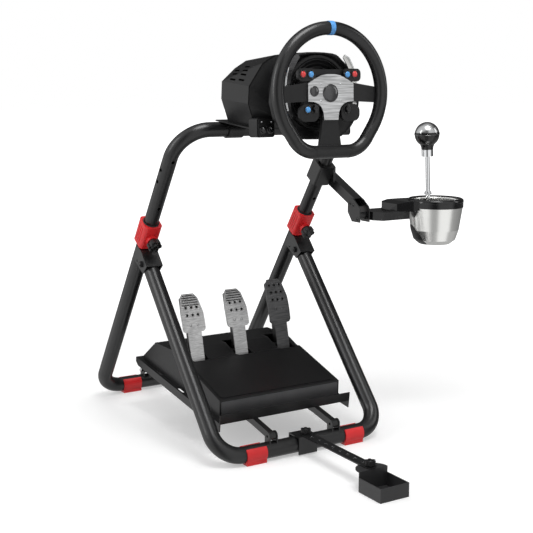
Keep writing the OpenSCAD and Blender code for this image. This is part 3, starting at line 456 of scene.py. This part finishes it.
def rod(points, radius, steps=10, closed=False):
    shape = bmesh.new()
    path = [Vector(p) for p in points]
    count = len(path)
    rings = []
    side = None
    for i, point in enumerate(path):
        before = path[i - 1] if i or closed else point
        after = path[(i + 1) % count] if i < count - 1 or closed else point
        along = (after - before).normalized()
        if side is None:
            side = along.orthogonal().normalized()
        side = (side - along * side.dot(along)).normalized()
        across = along.cross(side)
        rings.append([shape.verts.new(point + radius * (side * math.cos(a) + across * math.sin(a)))
                      for a in (2 * math.pi * k / steps for k in range(steps))])
    pairs = list(zip(rings, rings[1:])) + ([(rings[-1], rings[0])] if closed else [])
    for one, two in pairs:
        for k in range(steps):
            j = (k + 1) % steps
            shape.faces.new([one[k], one[j], two[j], two[k]])
    if not closed:
        shape.faces.new(rings[0])
        shape.faces.new(rings[-1])
    bmesh.ops.recalc_face_normals(shape, faces=shape.faces)
    return shape


print("shapes ready")


# %% Put copies together and ride them on a body
def stamp(copies):
    whole = bmesh.new()
    for shape, frame_at in copies:
        mesh = bpy.data.meshes.new("copy")
        shape.to_mesh(mesh)
        mesh.transform(frame_at)
        if frame_at.determinant() < 0:
            mesh.flip_normals()
        whole.from_mesh(mesh)
        bpy.data.meshes.remove(mesh)
    return whole


def piece(name, copies, body, slot, paint=None, angle=35):
    """Join the copies into one piece that rides on a body; without a paint it takes its slot's finish."""
    mesh = bpy.data.meshes.new(name)
    stamp(copies).to_mesh(mesh)
    mesh.transform(Matrix.Scale(MM, 4))
    mesh.materials.append(paint or FINISHES[slot])
    mesh.polygons.foreach_set("use_smooth", [True] * len(mesh.polygons))
    mesh.set_sharp_from_angle(angle=math.radians(angle))
    thing = bpy.data.objects.new(name, mesh)
    bpy.context.scene.collection.objects.link(thing)
    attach(thing, body)


def socket_screw(radius, height):
    hollow = radius * 0.5
    return turned([(0, height * 0.45), (hollow, height * 0.45), (hollow, height), (radius * 0.85, height),
                   (radius, height * 0.75), (radius, 0)], 24)


def domed_screw(radius, height):
    angles = [math.radians(degrees) for degrees in range(0, 76, 15)]
    arc = [(radius * math.cos(a), height * math.sin(a)) for a in angles]
    return turned([(0, height * 0.55), (radius * 0.3, height * 0.55), (radius * 0.36, height * 0.95)]
                  + arc[::-1][1:], 24)


print("helpers for pieces ready")

# %% [markdown]
# ## Buttons on the wheel
# Each button is a glossy cap standing in a dark collar. The colours are the consoles' usual red and
# light blue. The small sticks are rubber mushrooms in a dished well, and the horn button is a shallow
# dome with a bevelled edge. Each is turned, so a single profile tells its whole shape.

# %% Paint for the buttons
red_cap = keep("red_button", "red_button", (0.78, 0.045, 0.045), 0.25, grain=800, bump=0.04, coat=0.4)
blue_cap = keep("blue_button", "blue_button", (0.10, 0.40, 0.86), 0.25, grain=800, bump=0.04, coat=0.4)
horn_cap = keep("horn_button", "horn_button", (0.035, 0.035, 0.037), 0.3, grain=900, bump=0.08, coat=0.6)
print("button paints ready")

# %% The buttons
BUTTON_R = 6.4
button_cap = turned([(0, 3.6), (2.4, 3.5), (4.4, 3.0), (BUTTON_R - 0.6, 2.2), (BUTTON_R, 1.3),
                     (BUTTON_R, 0)])
button_collar = turned([(BUTTON_R + 0.2, 0), (BUTTON_R + 0.2, 1.5), (BUTTON_R + 1.2, 1.9),
                        (BUTTON_R + 2.3, 1.4), (BUTTON_R + 2.8, 0)])
POD_TOP = -2.0
red_places = [(-68, 37), (64, 38)]
blue_places = [(-48, 37), (45, 37), (-57, -36)]


def on_face(x, y, z=POD_TOP):
    return HUB @ move(x, y, z)


piece("buttons_red", [(button_cap, on_face(*p)) for p in red_places],
      "steering_wheel", "red_plastic", red_cap)
piece("buttons_blue", [(button_cap, on_face(*p)) for p in blue_places],
      "steering_wheel", "blue_band", blue_cap)
piece("button_collars", [(button_collar, on_face(*p)) for p in red_places + blue_places],
      "steering_wheel", "black_gloss")
print("buttons:", len(red_places + blue_places))

# %% The two little sticks
well = turned([(0, 0.2), (5.5, 0.2), (8.2, 1.2), (9.4, 1.6), (10.2, 1.2), (10.4, 0)])
stick = turned([(0, 6.6), (2.6, 6.3), (4.0, 6.8), (5.2, 6.4), (5.4, 5.4), (3.6, 4.2), (2.6, 2.0),
                (3.4, 0.2)])
stick_places = [(-39.5, -34), (44.5, -36)]
piece("stick_wells", [(well, on_face(*p)) for p in stick_places], "steering_wheel", "black_gloss")
piece("stick_caps", [(stick, on_face(*p)) for p in stick_places],
      "steering_wheel", "black_plastic", FINISHES["rubber"])
print("sticks:", len(stick_places))

# %% The horn button and its neighbour
HUB_TOP = 2.0
horn = turned([(0, 4.6), (8, 4.3), (13.5, 3.4), (16.2, 2.4), (17.0, 1.2), (17.4, 2.2), (18.2, 2.4),
               (19.0, 1.6), (19.2, 0)], 64)
neighbour = turned([(0, 1.6), (7.6, 1.5), (8.6, 0.8), (9.0, 1.5), (10.2, 1.6), (11.0, 0.9), (11.2, 0)], 48)
piece("horn_button", [(horn, on_face(-2, -2, HUB_TOP))], "steering_wheel", "black_plastic", horn_cap)
piece("pit_button", [(neighbour, on_face(-42.6, 2, HUB_TOP))], "steering_wheel", "black_plastic", horn_cap)
hub_screws = [(-26, 17), (24, 17), (-26, -18), (24, -18)]
piece("hub_screws", [(domed_screw(2.3, 0.9), on_face(x, y, HUB_TOP)) for x, y in hub_screws],
      "steering_wheel", "steel")
print("hub screws:", len(hub_screws))

# %% [markdown]
# ## Stitching
# The leather is closed along the inner side of the rim with a baseball stitch. The thread is black,
# so it shows only as a row of small glints. Each stitch is a short rod that leans across the seam.
# The path is the rim's own: a round top, straight sides, two lower corners and a flat bottom.

# %% The rim's path
RIM_R, GRIP_R, FLAT_DROP, CORNER_R, RIM_TURN = 132.7, 14.1, 125.0, 60.0, math.radians(35)
corner_y = -FLAT_DROP + CORNER_R
corner_x = (RIM_R - CORNER_R + corner_y * math.sin(RIM_TURN)) / math.cos(RIM_TURN)


def rim_path(spacing):
    corners = []
    for i in range(181):
        a = -RIM_TURN + (math.pi + 2 * RIM_TURN) * i / 180
        corners.append(Vector((RIM_R * math.cos(a), RIM_R * math.sin(a), 0)))
    for side, start, end in ((-1, math.pi + RIM_TURN, 1.5 * math.pi), (1, -0.5 * math.pi, -RIM_TURN)):
        for i in range(41):
            a = start + (end - start) * i / 40
            corners.append(Vector((side * corner_x + CORNER_R * math.cos(a),
                                   corner_y + CORNER_R * math.sin(a), 0)))
    corners.append(corners[0])
    spots, walked, target = [], 0.0, 0.0
    for here, there in zip(corners, corners[1:]):
        length = (there - here).length
        while length > 0 and target <= walked + length:
            step = (target - walked) / length
            spots.append((here.lerp(there, step), (there - here).normalized()))
            target += spacing
        walked += length
    return spots


STITCH_PITCH = 4.6
print("stitches that fit:", len(rim_path(STITCH_PITCH)))

# %% The stitches
stitches = []
for at, along in rim_path(STITCH_PITCH):
    inward = Vector((-along.y, along.x, 0))
    surface = (inward * 0.94 + Vector((0, 0, 0.34))).normalized()
    seam = at + surface * (GRIP_R + 0.1)
    across = along.cross(surface)
    lean = along * 1.3
    stitch = [seam - across * 2.4 - lean, seam + surface * 0.35, seam + across * 2.4 + lean]
    stitches.append((rod(stitch, 0.45, 5), HUB))
thread = keep("thread", "waxed_thread", (0.03, 0.03, 0.031), 0.5, grain=2500, bump=0.3)
piece("rim_stitching", stitches, "steering_wheel", "wheel_grip", thread)
print("stitches sewn:", len(stitches))

# %% [markdown]
# ## The dished cowl and the housing
# Behind the wheel a round cowl steps inwards in rings, like the front of a loudspeaker. Slots in the
# left rear of the housing let the motor's heat out. A slot that is only painted on looks flat, so each
# one is a near-black strip of painted shade, for the dark inside of a slot, on a raised wider lip, and
# both are draped over the two facets of the shoulder.

# %% Rings inside the cowl
COWL_BACK = -57.5
ring_sizes = [(38, 4.2, 1.8), (46, 4.2, 1.5), (54, 4.4, 1.8), (62, 6.6, 1.5), (70, 10.2, 1.8)]
rings = []
for radius, height, thick in ring_sizes:
    rings.append((rod(circle(radius, height, 72), thick, 8, closed=True), HUB @ move(0, 0, COWL_BACK)))
piece("cowl_rings", rings, "wheel_mount", "black_plastic")
print("cowl rings:", len(rings))

# %% [markdown]
# The hood round the cowl has a soft rolled lip, and its face falls inwards like a shallow dish. It is
# drawn as a loop of points that a spline makes smooth, once for each step of the profile, and the
# loops are joined like the hoops of a barrel.


# %% The hood's dish
def smooth_loop(corners, per_side=4):
    loop = []
    count = len(corners)
    for i in range(count):
        a, b, c, d = [Vector(corners[(i + k) % count]) for k in (-1, 0, 1, 2)]
        for k in range(per_side):
            s = k / per_side
            loop.append(0.5 * ((2 * b) + (c - a) * s + (2 * a - 5 * b + 4 * c - d) * s ** 2
                               + (3 * b - a - 3 * c + d) * s ** 3))
    return loop


def hooped(loops, close_ends=False):
    shape = bmesh.new()
    rings = [[shape.verts.new(p) for p in loop] for loop in loops]
    for one, two in zip(rings, rings[1:]):
        for k in range(len(one)):
            j = (k + 1) % len(one)
            shape.faces.new([one[k], one[j], two[j], two[k]])
    if close_ends:
        shape.faces.new(rings[0])
        shape.faces.new(rings[-1])
    bmesh.ops.recalc_face_normals(shape, faces=shape.faces)
    return shape


hood_side = [(40, 85), (68, 70), (92, 47), (108, 12), (112, -20), (103, -54), (84, -80), (50, -98)]
hood_edge = smooth_loop([(x, y, 0) for x, y in hood_side] + [(-x, y, 0) for x, y in reversed(hood_side)])


def hood_loop(share, height, round_share=0.0):
    loop = []
    for p in hood_edge:
        circle = p.normalized() * 80.6
        flat = (p * share).lerp(circle, round_share)
        loop.append((flat.x, flat.y, height))
    return loop


hood_profile = [(0.985, -3, 0), (0.995, 3, 0), (0.99, 6.5, 0), (0.972, 8.3, 0), (0.95, 7.8, 0.05),
                (0.93, 5.6, 0.3), (0.93, 3.2, 0.62), (0.93, 2.2, 0.9), (0.93, 2.2, 1.0)]
piece("hood_dish", [(hooped([hood_loop(*step) for step in hood_profile]), HUB @ move(0, 0, COWL_BACK))],
      "wheel_mount", "black_plastic", angle=60)
print("dish loops:", len(hood_profile))

# %% Vent slots on the housing's left shoulder
# Each facet of the shoulder: its normal, and a point on the edge that both share.
SHOULDER_EDGE = Vector((-130, -28, 111))
SHOULDER = [(Vector((-0.666, 0.125, 0.735)), SHOULDER_EDGE), (Vector((-0.837, 0, 0.547)), SHOULDER_EDGE)]
SHOULDER_OUT = (SHOULDER[0][0] + SHOULDER[1][0]).normalized()
SHOULDER_ACROSS = SHOULDER_OUT.cross(Vector((0, 1, 0))).normalized()


def on_shoulder(point, lift):
    """Slide a point outwards to the two facets of the shoulder, and `lift` mm above them."""
    rise = min((foot - point).dot(normal) / normal.dot(SHOULDER_OUT) for normal, foot in SHOULDER)
    return point + SHOULDER_OUT * (rise + lift)


def draped_slot(centre, length, width, lift, stations=14):
    loops = []
    for k in range(stations + 1):
        along = -length / 2 + length * k / stations
        past = max(0.0, abs(along) - (length - width) / 2)
        half = max(0.35, math.sqrt(max(0.0, (width / 2) ** 2 - past ** 2)))
        across = [-half, -half / 3, half / 3, half]
        spots = [Vector(centre) + Vector((0, along, 0)) + SHOULDER_ACROSS * a for a in across]
        under = [on_shoulder(p, -0.6) for p in reversed(spots)]
        loops.append([on_shoulder(p, lift) for p in spots] + under)
    return hooped(loops, close_ends=True)


vent_places = [(-101.2, -88, 148), (-110.4, -95, 140.5), (-106.6, -54, 136.9), (-116.5, -99, 131.8),
               (-115.3, -60, 129.8), (-124.0, -104, 120.5), (-125.1, -68, 118.6)]
# Near-black with no gloss: painted shade for the dark inside of a recess. It is used in the vent slots, the
# hoop's holes and between the pedal bars.
vent_dark = keep("vent_dark", "vent_dark", (0.001, 0.001, 0.001), 0.9, grain=900, bump=0.02,
                 specular=0.0)
piece("vent_shade_strips", [(draped_slot(p, 24, 4.2, 0.3), PLATE) for p in vent_places],
      "wheel_mount", "black_plastic", vent_dark)
piece("vent_lips", [(draped_slot(p, 26, 6.2, 0.15), PLATE) for p in vent_places],
      "wheel_mount", "black_plastic")
print("vent slots:", len(vent_places))

# %% Knobs, keys and lamps on the control panels
PANEL_TOP = -97.0
panel_knob = turned([(0, 7.4), (5.6, 7.2), (6.3, 6.4), (6.6, 2.0), (7.6, 1.4), (8.6, 0.9), (8.8, 0)], 32)
knob_mark = slab([(-0.5, 1.5), (0.5, 1.5), (0.5, 5.2), (-0.5, 5.2)], 7.2, 7.7)
panel_key = slab(rounded_outline(9, 6, 2), 0, 1.8, 0.5)
panel_lamp = turned([(0, 1.1), (1.0, 0.9), (1.5, 0.4), (1.6, 0)], 16)
lit = keep("lamp_lens", "lamp_lens", (0.75, 0.76, 0.78), 0.25, grain=800, bump=0.02, coat=0.5)
knob_places = [(-110.5, -77), (-91.5, -77)]
piece("panel_knobs", [(panel_knob, HUB @ move(x, y, PANEL_TOP)) for x, y in knob_places], "wheel_mount",
      "black_gloss")
piece("panel_knob_marks", [(knob_mark, HUB @ move(x, y, PANEL_TOP) @ turn("Z", 30)) for x, y in knob_places],
      "wheel_mount", "steel", lit)
piece("panel_keys", [(panel_key, HUB @ move(x, -80, PANEL_TOP)) for x in (94, 110)], "wheel_mount",
      "black_gloss")
lamp_places = [(-113, -60), (-89, -60), (92, -64), (110, -64)]
piece("panel_lamps", [(panel_lamp, HUB @ move(x, y, PANEL_TOP)) for x, y in lamp_places], "wheel_mount",
      "steel", lit)
print("panel fittings:", len(knob_places) + 2 + len(lamp_places))

# %% [markdown]
# The two paddles behind the rim are cut from aluminium, and their outer edges are polished.

# %% Polished paddle edges
paddle_edge = [(36.2, -37.5), (39.4, -24), (40.6, -10), (40.9, 5), (40.6, 20), (38.0, 37), (33.6, 52),
               (22, 73), (11, 79)]
for name, side in (("left_paddle", -1), ("right_paddle", 1)):
    seen = paddle_edge[:-2] if side < 0 else paddle_edge
    edge = rod([(side * x, y, 0) for x, y in seen], 1.8, 10)
    piece(name + "_edge", [(edge, HUB @ move(side * 50, 0, -33))], name, "chrome")
print("paddle edges:", 2)

# %% [markdown]
# ## Pedals
# The two left pedals have bright brushed faces and the right one a dark face. On the bright ones four
# raised bars keep a shoe from sliding, with thin near-black strips of painted shade between them for
# the shadow at their feet, and every hole has a rolled edge. The face is bowed, so a piece that lies
# on it is placed by the same arc that bends it.

# %% Bars and hole rims on the pedal faces
FACE_BOW, FACE_FRONT, FACE_HALF, FACE_FOOT = 260.0, -26.0, 31.0, 104


def bow(up):
    return FACE_BOW - math.sqrt(FACE_BOW ** 2 - up ** 2)


def on_pedal(place, x, up, lift):
    lean = math.degrees(math.asin(up / FACE_BOW))
    return pedal_axle(place) @ move(x, FACE_FRONT + bow(up), FACE_FOOT + lift + up) @ turn("X", 90 - lean)


hole_rim = rod(circle(4.2, 0.1), 1.0, 8, closed=True)
# Name, place, height of the foot above the others', rows of holes and metal.
pedals = [("clutch", -1, 0, 2, "pedal_aluminium"), ("brake", 0, 0, 2, "pedal_aluminium"),
          ("throttle", 1, 13, 3, "dark_aluminium")]
for name, place, lift, rows, metal in pedals:
    holes = [(hole_rim, on_pedal(place, col * 15, 42 + row * 19, lift))
             for row in range(rows) for col in (-1, 0, 1)]
    piece(name + "_hole_rims", holes, name, metal)
    if metal == "pedal_aluminium":
        bars = [(slab(rounded_outline(48 - 3 * k, 2.8, 1.3, 3), -0.3, 1.9, 0.6),
                 on_pedal(place, 0, 70 + 6 * k, lift)) for k in range(4)]
        piece(name + "_grip_bars", bars, name, metal)
        # Painted shade: a near-black strip lies in each gap between the bars, where the shadow at their feet
        # falls.
        gaps = [(slab(rounded_outline(48 - 3 * k, 1.8, 0.8, 3), -0.3, 0.25),
                 on_pedal(place, 0, 67 + 6 * k, lift)) for k in range(5)]
        piece(name + "_grip_bar_shade", gaps, name, "dark_aluminium", FINISHES["vent_dark"])
    feet = [(domed_screw(3.4, 1.6), on_pedal(place, x, 17, lift)) for x in (-10, 10)]
    piece(name + "_screws", feet, name, metal)
print("pedal faces finished:", len(pedals))

# %% [markdown]
# Behind each face sits a dark plastic block that holds it on its arm, and it is what shows through
# the holes. It is bowed like the face, so it is built from the same arc, one rounded outline for
# each step upwards. A second part on each pedal is a curved dust shutter: it turns with the pedal
# inside the slot, so the slot never gapes.


# %% Blocks behind the faces, and shutters in the slots
def backing(high, low_w=52.0, top_w=40.0, deep=12.0):
    loops = []
    for k in range(13):
        up = 4 + (high - 8) * k / 12
        half = low_w / 2
        if up >= high / 2:
            half = low_w / 2 + (top_w - low_w) / 2 * (up - high / 2) / (high / 2)
        end = min(1.0, min(k, 12 - k) / 1.5 + 0.55)
        outline = rounded_outline(2 * half * end, deep * end, 3, 3)
        loops.append([(x, FACE_FRONT + 4.3 + bow(up) + deep / 2 + d, up) for x, d in outline])
    return hooped(loops, close_ends=True)


def shutter(radius=49.0, width=43.0, thick=1.6, start=112, stop=38):
    loops = []
    for k in range(19):
        a = math.radians(start + (stop - start) * k / 18)
        inner, outer = radius - thick, radius
        loops.append([(x, r * math.cos(a), r * math.sin(a)) for x, r in
                      ((-width / 2, inner), (width / 2, inner), (width / 2, outer), (-width / 2, outer))])
    return hooped(loops, close_ends=True)


for name, place, lift, rows, metal in pedals:
    behind_face = pedal_axle(place) @ move(0, 0, FACE_FOOT + lift)
    piece(name + "_backing", [(backing(96), behind_face)], name, "black_plastic")
    piece(name + "_dust_shutter", [(shutter(), pedal_axle(place))], name, "black_plastic")
print("backings and shutters:", 2 * len(pedals))

# %% [markdown]
# The throttle's face reaches further down than the others. An apron continues its arc below the foot.


# %% The throttle's lower apron
def apron(low=-19.0, high=12.0, half=FACE_HALF, corner=10.0, thick=4.0):
    loops = []
    for k in range(17):
        up = low + (high - low) * (k / 16) ** 1.5
        cut = max(0.0, corner - (up - low))
        wide = half - corner + math.sqrt(max(0.0, corner ** 2 - cut ** 2))
        front, back = FACE_FRONT - 0.3 + bow(up), FACE_FRONT - 0.3 + bow(up) + thick
        loops.append([(-wide, front + 0.8, up), (-wide + 0.8, front, up), (wide - 0.8, front, up),
                      (wide, front + 0.8, up), (wide, back, up), (-wide, back, up)])
    return hooped(loops, close_ends=True)


piece("throttle_apron", [(apron(), pedal_axle(1) @ move(0, 0, 117))], "throttle", "dark_aluminium")
print("apron set under the throttle's face")

# %% [markdown]
# ## The pedal housing
# The housing is a moulded shell. A thin lip runs round each slot, the foot rest in front of the
# pedals is a separate glossy plate, and screws hold the shell to the tray.

# %% Housing trim
def on_housing(x, y, z, lean=0.0):
    return TRAY @ move(x, y, z) @ turn("X", lean)


PEDAL_FRONT = 27.0
slope = math.degrees(math.atan2(70 - 42, 180))
plate_rise = 90 * math.tan(math.radians(slope))
satin_black = keep("satin_black", "satin_black", (0.009, 0.009, 0.0095), 0.3, grain=900, bump=0.12,
                   specular=0.4)
foot_plate = slab(rounded_outline(318, 166, 9), -0.4, 1.4, 0.6)
piece("foot_plate", [(foot_plate, on_housing(0, PEDAL_FRONT + 94, 42 + plate_rise, slope))],
      "pedal_deck", "black_plastic", satin_black)
front_panel = slab(rounded_outline(326, 33, 3), -0.3, 0.9, 0.4)
panel_paint = keep("front_panel", "front_panel", (0.085, 0.085, 0.088), 0.45, metal=0.3, grain=900,
                   bump=0.15, stretch=(0.05, 1, 1))
panel_lean = 90 - math.degrees(math.atan2(4, 42))
piece("housing_front_panel", [(front_panel, on_housing(0, PEDAL_FRONT + 2, 22, panel_lean))],
      "pedal_deck", "dark_sheet", panel_paint)
HOUSING_TOP = [(31, 42), (211, 70), (223, 67), (275, 79), (373, 66)]


def housing_top(y):
    for (y1, z1), (y2, z2) in zip(HOUSING_TOP, HOUSING_TOP[1:]):
        if y <= y2:
            return z1 + (z2 - z1) * (y - y1) / (y2 - y1)
    return HOUSING_TOP[-1][1]


def finer(outline, parts=8, shortest=9.0):
    """Cut an outline's long sides into parts, so that it can follow the bends of the housing's top."""
    points = []
    for (x1, y1), (x2, y2) in zip(outline, outline[1:] + outline[:1]):
        count = 1 if abs(x2 - x1) + abs(y2 - y1) < shortest else parts
        points += [(x1 + (x2 - x1) * k / parts, y1 + (y2 - y1) * k / parts) for k in range(count)]
    return points


slot_edge = finer([(x, 254 + y) for x, y in rounded_outline(47.4, 93.4, 4)])
slot_lip_rod = rod([(x, y, housing_top(y) + 0.2) for x, y in slot_edge], 0.9, 6, closed=True)
piece("slot_lips", [(slot_lip_rod, TRAY @ move(PEDAL_SHIFT + PEDAL_PITCH * i, 0, 0)) for i in (-1, 0, 1)],
      "pedal_deck", "black_plastic")
print("slot lips:", 3)
shell_screws = [(x, PEDAL_FRONT + 300, 73.5, -8) for x in (-150, -64, 64, 150)]
piece("housing_screws", [(socket_screw(4.2, 2.2), on_housing(*p)) for p in shell_screws],
      "pedal_deck", "black_paint")

# %% [markdown]
# ## The frame's small parts
# Holes run up the upper hoop, each with a near-black disc of painted shade for its dark inside, a
# rubber seal closes each collar, rivets hold the fold's channels and bolts the rear ears. These parts
# are what an eye uses to judge the size of the whole stand.

# %% Holes in the upper hoop
HOOP_R = 17.2


def wrapped(shape):
    """Bend a flat piece of trim round the hoop's tube, which runs along its Y axis."""
    for vertex in shape.verts:
        vertex.co.z -= HOOP_R - math.sqrt(HOOP_R ** 2 - vertex.co.x ** 2)
    return shape


hole_edge = rod(circle(4.6, -0.25), 0.35, 6, closed=True)
round_edge = wrapped(hole_edge.copy())
hole_floor = wrapped(turned([(0, -0.1), (1.5, -0.1), (3.0, -0.1), (4.4, -0.1), (4.4, -0.6), (0, -0.6)], 24))


def on_hoop(side, along, facing):
    return rear_leg(side, along) @ turn("Z", facing) @ move(0, -HOOP_R - 0.15, 0) @ turn("X", 90)


hoop_holes = [(side, along, facing) for side in (-1, 1) for along, facing in
              ((790, 0), (758, -84), (724, -84), (652, 0), (652, 84))]
piece("hoop_hole_edges", [(round_edge, on_hoop(*p)) for p in hoop_holes], "tower", "black_paint")
# Painted shade: a near-black disc lies just inside each hole's edge, for the shadow in the hole.
piece("hoop_hole_shade", [(hole_floor, on_hoop(*p)) for p in hoop_holes],
      "tower", "black_paint", vent_dark)
print("hoop holes:", len(hoop_holes))

# %% Collars
collar_lip = rod([(x, y, 0) for x, y in rounded_outline(43.6, 43.6, 8.6, 8)], 1.1, 8, closed=True)
seal = turned([(17.6, 0), (17.6, 2.2), (19.4, 2.2), (20.2, 1.4), (20.4, 0)], 48)
rib = slab(rounded_outline(2.0, 46, 0.9, 3), -0.4, 0.9, 0.35)
COLLAR_LOW, COLLAR_HIGH, KNOB_AT, KNOB_FACE = 532.0, 598.0, 560.8, 50.5
for side, name in ((-1, "left"), (1, "right")):
    lips = [(collar_lip, rear_leg(side, along)) for along in (COLLAR_HIGH - 1.0, COLLAR_LOW + 1.0)]
    piece(f"collar_lips_{name}", lips, "rear_frame", "red_plastic")
    piece(f"collar_seal_{name}", [(seal, rear_leg(side, COLLAR_HIGH - 0.4))], "rear_frame",
          "black_plastic", FINISHES["rubber"])
    ribs = [(rib, rear_leg(side, 565) @ turn("Z", 90 * k) @ move(x, -22.5, 0) @ turn("X", 90))
            for k in (1, 2, 3) for x in (-8, 0, 8)]
    piece(f"collar_ribs_{name}", ribs, "rear_frame", "red_plastic")
    knob_end = rear_leg(side, KNOB_AT) @ move(0, -KNOB_FACE, 0) @ turn("X", 90)
    cap = [(turned([(0, 1.8), (5, 1.6), (7.4, 0.8), (8, 0)], 32), knob_end),
           (turned([(9.0, 0), (9.6, 1.0), (10.6, 1.0), (11.2, 0)], 32), knob_end)]
    piece(f"collar_knob_cap_{name}", cap, "rear_frame", "black_gloss")
print("collars finished")

# %% Bolts and rivets on the frame
bolt_end = turned([(0, 2.4), (3.0, 2.2), (4.6, 1.4), (5, 0)], 24)
rivet = domed_screw(3.4, 1.8)
# Along the front leg to the fold's bolt, and from the leg's axis to the outside of its channel.
FOLD_AT, FOLD_REACH = 520.9, 19 + 0.3 + 2.5
EAR_X, EAR_Z = 86, 54
fold_trim, rivets, ear_bolts = [], [], []
for side in (-1, 1):
    for end in (-1, 1):
        outwards = turn("Y", 90 * end)
        fold_trim.append((bolt_end, front_leg(side, FOLD_AT) @ outwards @ move(0, 0, FOLD_REACH + 5)))
        for y, z in ((14, 20), (28, 6)):
            rivets.append((rivet, front_leg(side, FOLD_AT) @ move(end * FOLD_REACH, y, z) @ outwards))
        ear_bolts.append((bolt_end, move(EAR_X * side, FOOT_Y, EAR_Z) @ outwards @ move(0, 0, 15)))
piece("fold_bolt_ends", fold_trim, "rear_frame", "black_paint")
piece("channel_rivets", rivets, "rear_frame", "black_paint")
piece("rear_ear_bolt_ends", ear_bolts, "rear_frame", "steel")
print("rivets and bolt ends:", len(fold_trim) + len(rivets) + len(ear_bolts))

# %% [markdown]
# ## The shifter
# The ball is chromed above and black below, the lever is a plain bright rod, and the cup is spun
# aluminium with one corner cut away for a dark plate. Six small screws hold the gate's rim.

# %% Screws on the knuckle and the gate
CUP_X, CUP_Y, CUP_Z = 451, -250, 536
knuckle_bolts = []
for y, z in ((-168, 548), (-181, 545), (-199, 512)):
    for end, x in ((-1, 246.3), (1, 277.7)):
        knuckle_bolts.append((domed_screw(4.0, 2.0), move(x, y, z) @ turn("Y", 90 * end)))
piece("knuckle_screws", knuckle_bolts, "tower", "black_paint")
gate_screws = []
for degrees in (18, 162, 200, 240, 300, 340):
    a = math.radians(degrees)
    spot = move(CUP_X + 52 * math.cos(a), CUP_Y + 52 * math.sin(a), 552)
    gate_screws.append((domed_screw(3.0, 1.1), spot))
piece("gate_screws", gate_screws, "shifter", "steel")
print("shifter screws:", len(knuckle_bolts) + len(gate_screws))

# %% The lever's sleeve, and the seam and band of the ball
BALL_AT = 244
sleeve = turned([(5.7, 0), (5.7, 8), (7.0, 8), (8.6, 5), (9.2, 1.5), (9.2, 0)], 32)
ball_joint = turned([(31.2, -0.9), (31.6, -0.4), (31.6, 0.4), (31.2, 0.9)], 96)
piece("ball_seam", [(ball_joint, LEVER @ move(0, 0, BALL_AT))], "lever", "chrome")
piece("lever_sleeve", [(sleeve, LEVER @ move(0, 0, 93))], "lever", "steel")
ball_band = turned([(31.55, -0.6), (31.7, 0), (31.6, 2), (31.2, 4.6), (30.9, 5.4), (30.6, 5.6)], 96)
piece("ball_band", [(ball_band, LEVER @ move(0, 0, BALL_AT))], "lever", "black_gloss")
print("lever dressed")

# %% [markdown]
# The cup's lower corner is closed by a dark insert. It lies on the cup like a sticker on a bottle, so
# its points are found in the cup's own terms: an angle round it and a height up its side. The black
# ring above has a wide bevel, which is one more turned profile.


# %% The cup's dark insert and the ring's bevel
CUP_SIDE = [(38, -93), (52, -82), (60, -57), (68.5, 0)]


def cup_radius(z):
    for (r1, z1), (r2, z2) in zip(CUP_SIDE, CUP_SIDE[1:]):
        if z <= z2:
            return r1 + (r2 - r1) * (z - z1) / (z2 - z1)
    return CUP_SIDE[-1][0]


INSERT_STEPS, INSERT_ROWS, INSERT_FOOT = 24, 8, -92.4


def insert_loops(proud, middle=157.0, half=44.0, tall=46.0):
    loops = []
    for k in range(INSERT_STEPS + 1):
        off = -half + 2 * half * k / INSERT_STEPS
        a = math.radians(middle + off)
        top = -90 + tall * (1 - (off / (half + 1)) ** 2)
        column = []
        for m in range(INSERT_ROWS + 1):
            z = INSERT_FOOT + (top - INSERT_FOOT) * m / INSERT_ROWS
            radius = cup_radius(z) + proud
            column.append((radius * math.cos(a), radius * math.sin(a), z))
        loops.append(column)
    return loops


insert = bmesh.new()
outer = [[insert.verts.new(p) for p in column] for column in insert_loops(0.7)]
inner = [[insert.verts.new(p) for p in column] for column in insert_loops(-0.4)]
for skin in (outer, inner):
    for one, two in zip(skin, skin[1:]):
        for m in range(INSERT_ROWS):
            insert.faces.new([one[m], two[m], two[m + 1], one[m + 1]])
for k in range(INSERT_STEPS):
    for m in (0, INSERT_ROWS):
        insert.faces.new([outer[k][m], outer[k + 1][m], inner[k + 1][m], inner[k][m]])
for k in (0, INSERT_STEPS):
    for m in range(INSERT_ROWS):
        insert.faces.new([outer[k][m], outer[k][m + 1], inner[k][m + 1], inner[k][m]])
bmesh.ops.recalc_face_normals(insert, faces=insert.faces)
piece("cup_insert", [(insert, move(CUP_X, CUP_Y, CUP_Z))], "shifter", "dark_sheet")
bezel = turned([(69.6, 12), (70.4, 13), (70.4, 17.5), (69.4, 19.6), (65.6, 22.0), (64.4, 21.8),
                (64.0, 20.4), (64.2, 17.6)], 96)
piece("ring_bezel", [(bezel, move(CUP_X, CUP_Y, CUP_Z))], "shifter", "black_gloss")
print("cup finished")

# %% [markdown]
# ## The chair stop
# The perforated arm can be set for a longer or shorter reach. Bright steel rings lie on the edges of
# its eight free holes as painted highlights, for the light that shows in the holes, and the two knobs
# at its ends have small glossy caps.

# %% Knob caps, and steel rings as painted highlights at the holes
STOP_PIVOT_Y, STOP_REACH, STOP_TOP, KNOB_TOP = -346, 245, 47.3, 59.3
smaller = Matrix.Scale(0.82, 4)
# Painted highlights: bright steel rings on the arm's holes stand in for the light seen in them.
stop_holes = [(hole_edge, move(0, STOP_PIVOT_Y - STOP_REACH * k / 9, STOP_TOP) @ smaller)
              for k in range(1, 9)]
piece("stop_arm_hole_glints", stop_holes, "caster_arm", "steel")
small_cap = turned([(0, 1.4), (4, 1.2), (6, 0.5), (6.4, 0)], 24)
piece("stop_knob_cap", [(small_cap, move(0, STOP_PIVOT_Y, KNOB_TOP))], "caster_arm", "black_gloss")
piece("caster_knob_cap", [(small_cap, move(0, STOP_PIVOT_Y - STOP_REACH, KNOB_TOP))], "caster_stop",
      "black_gloss")
print("stop finished")
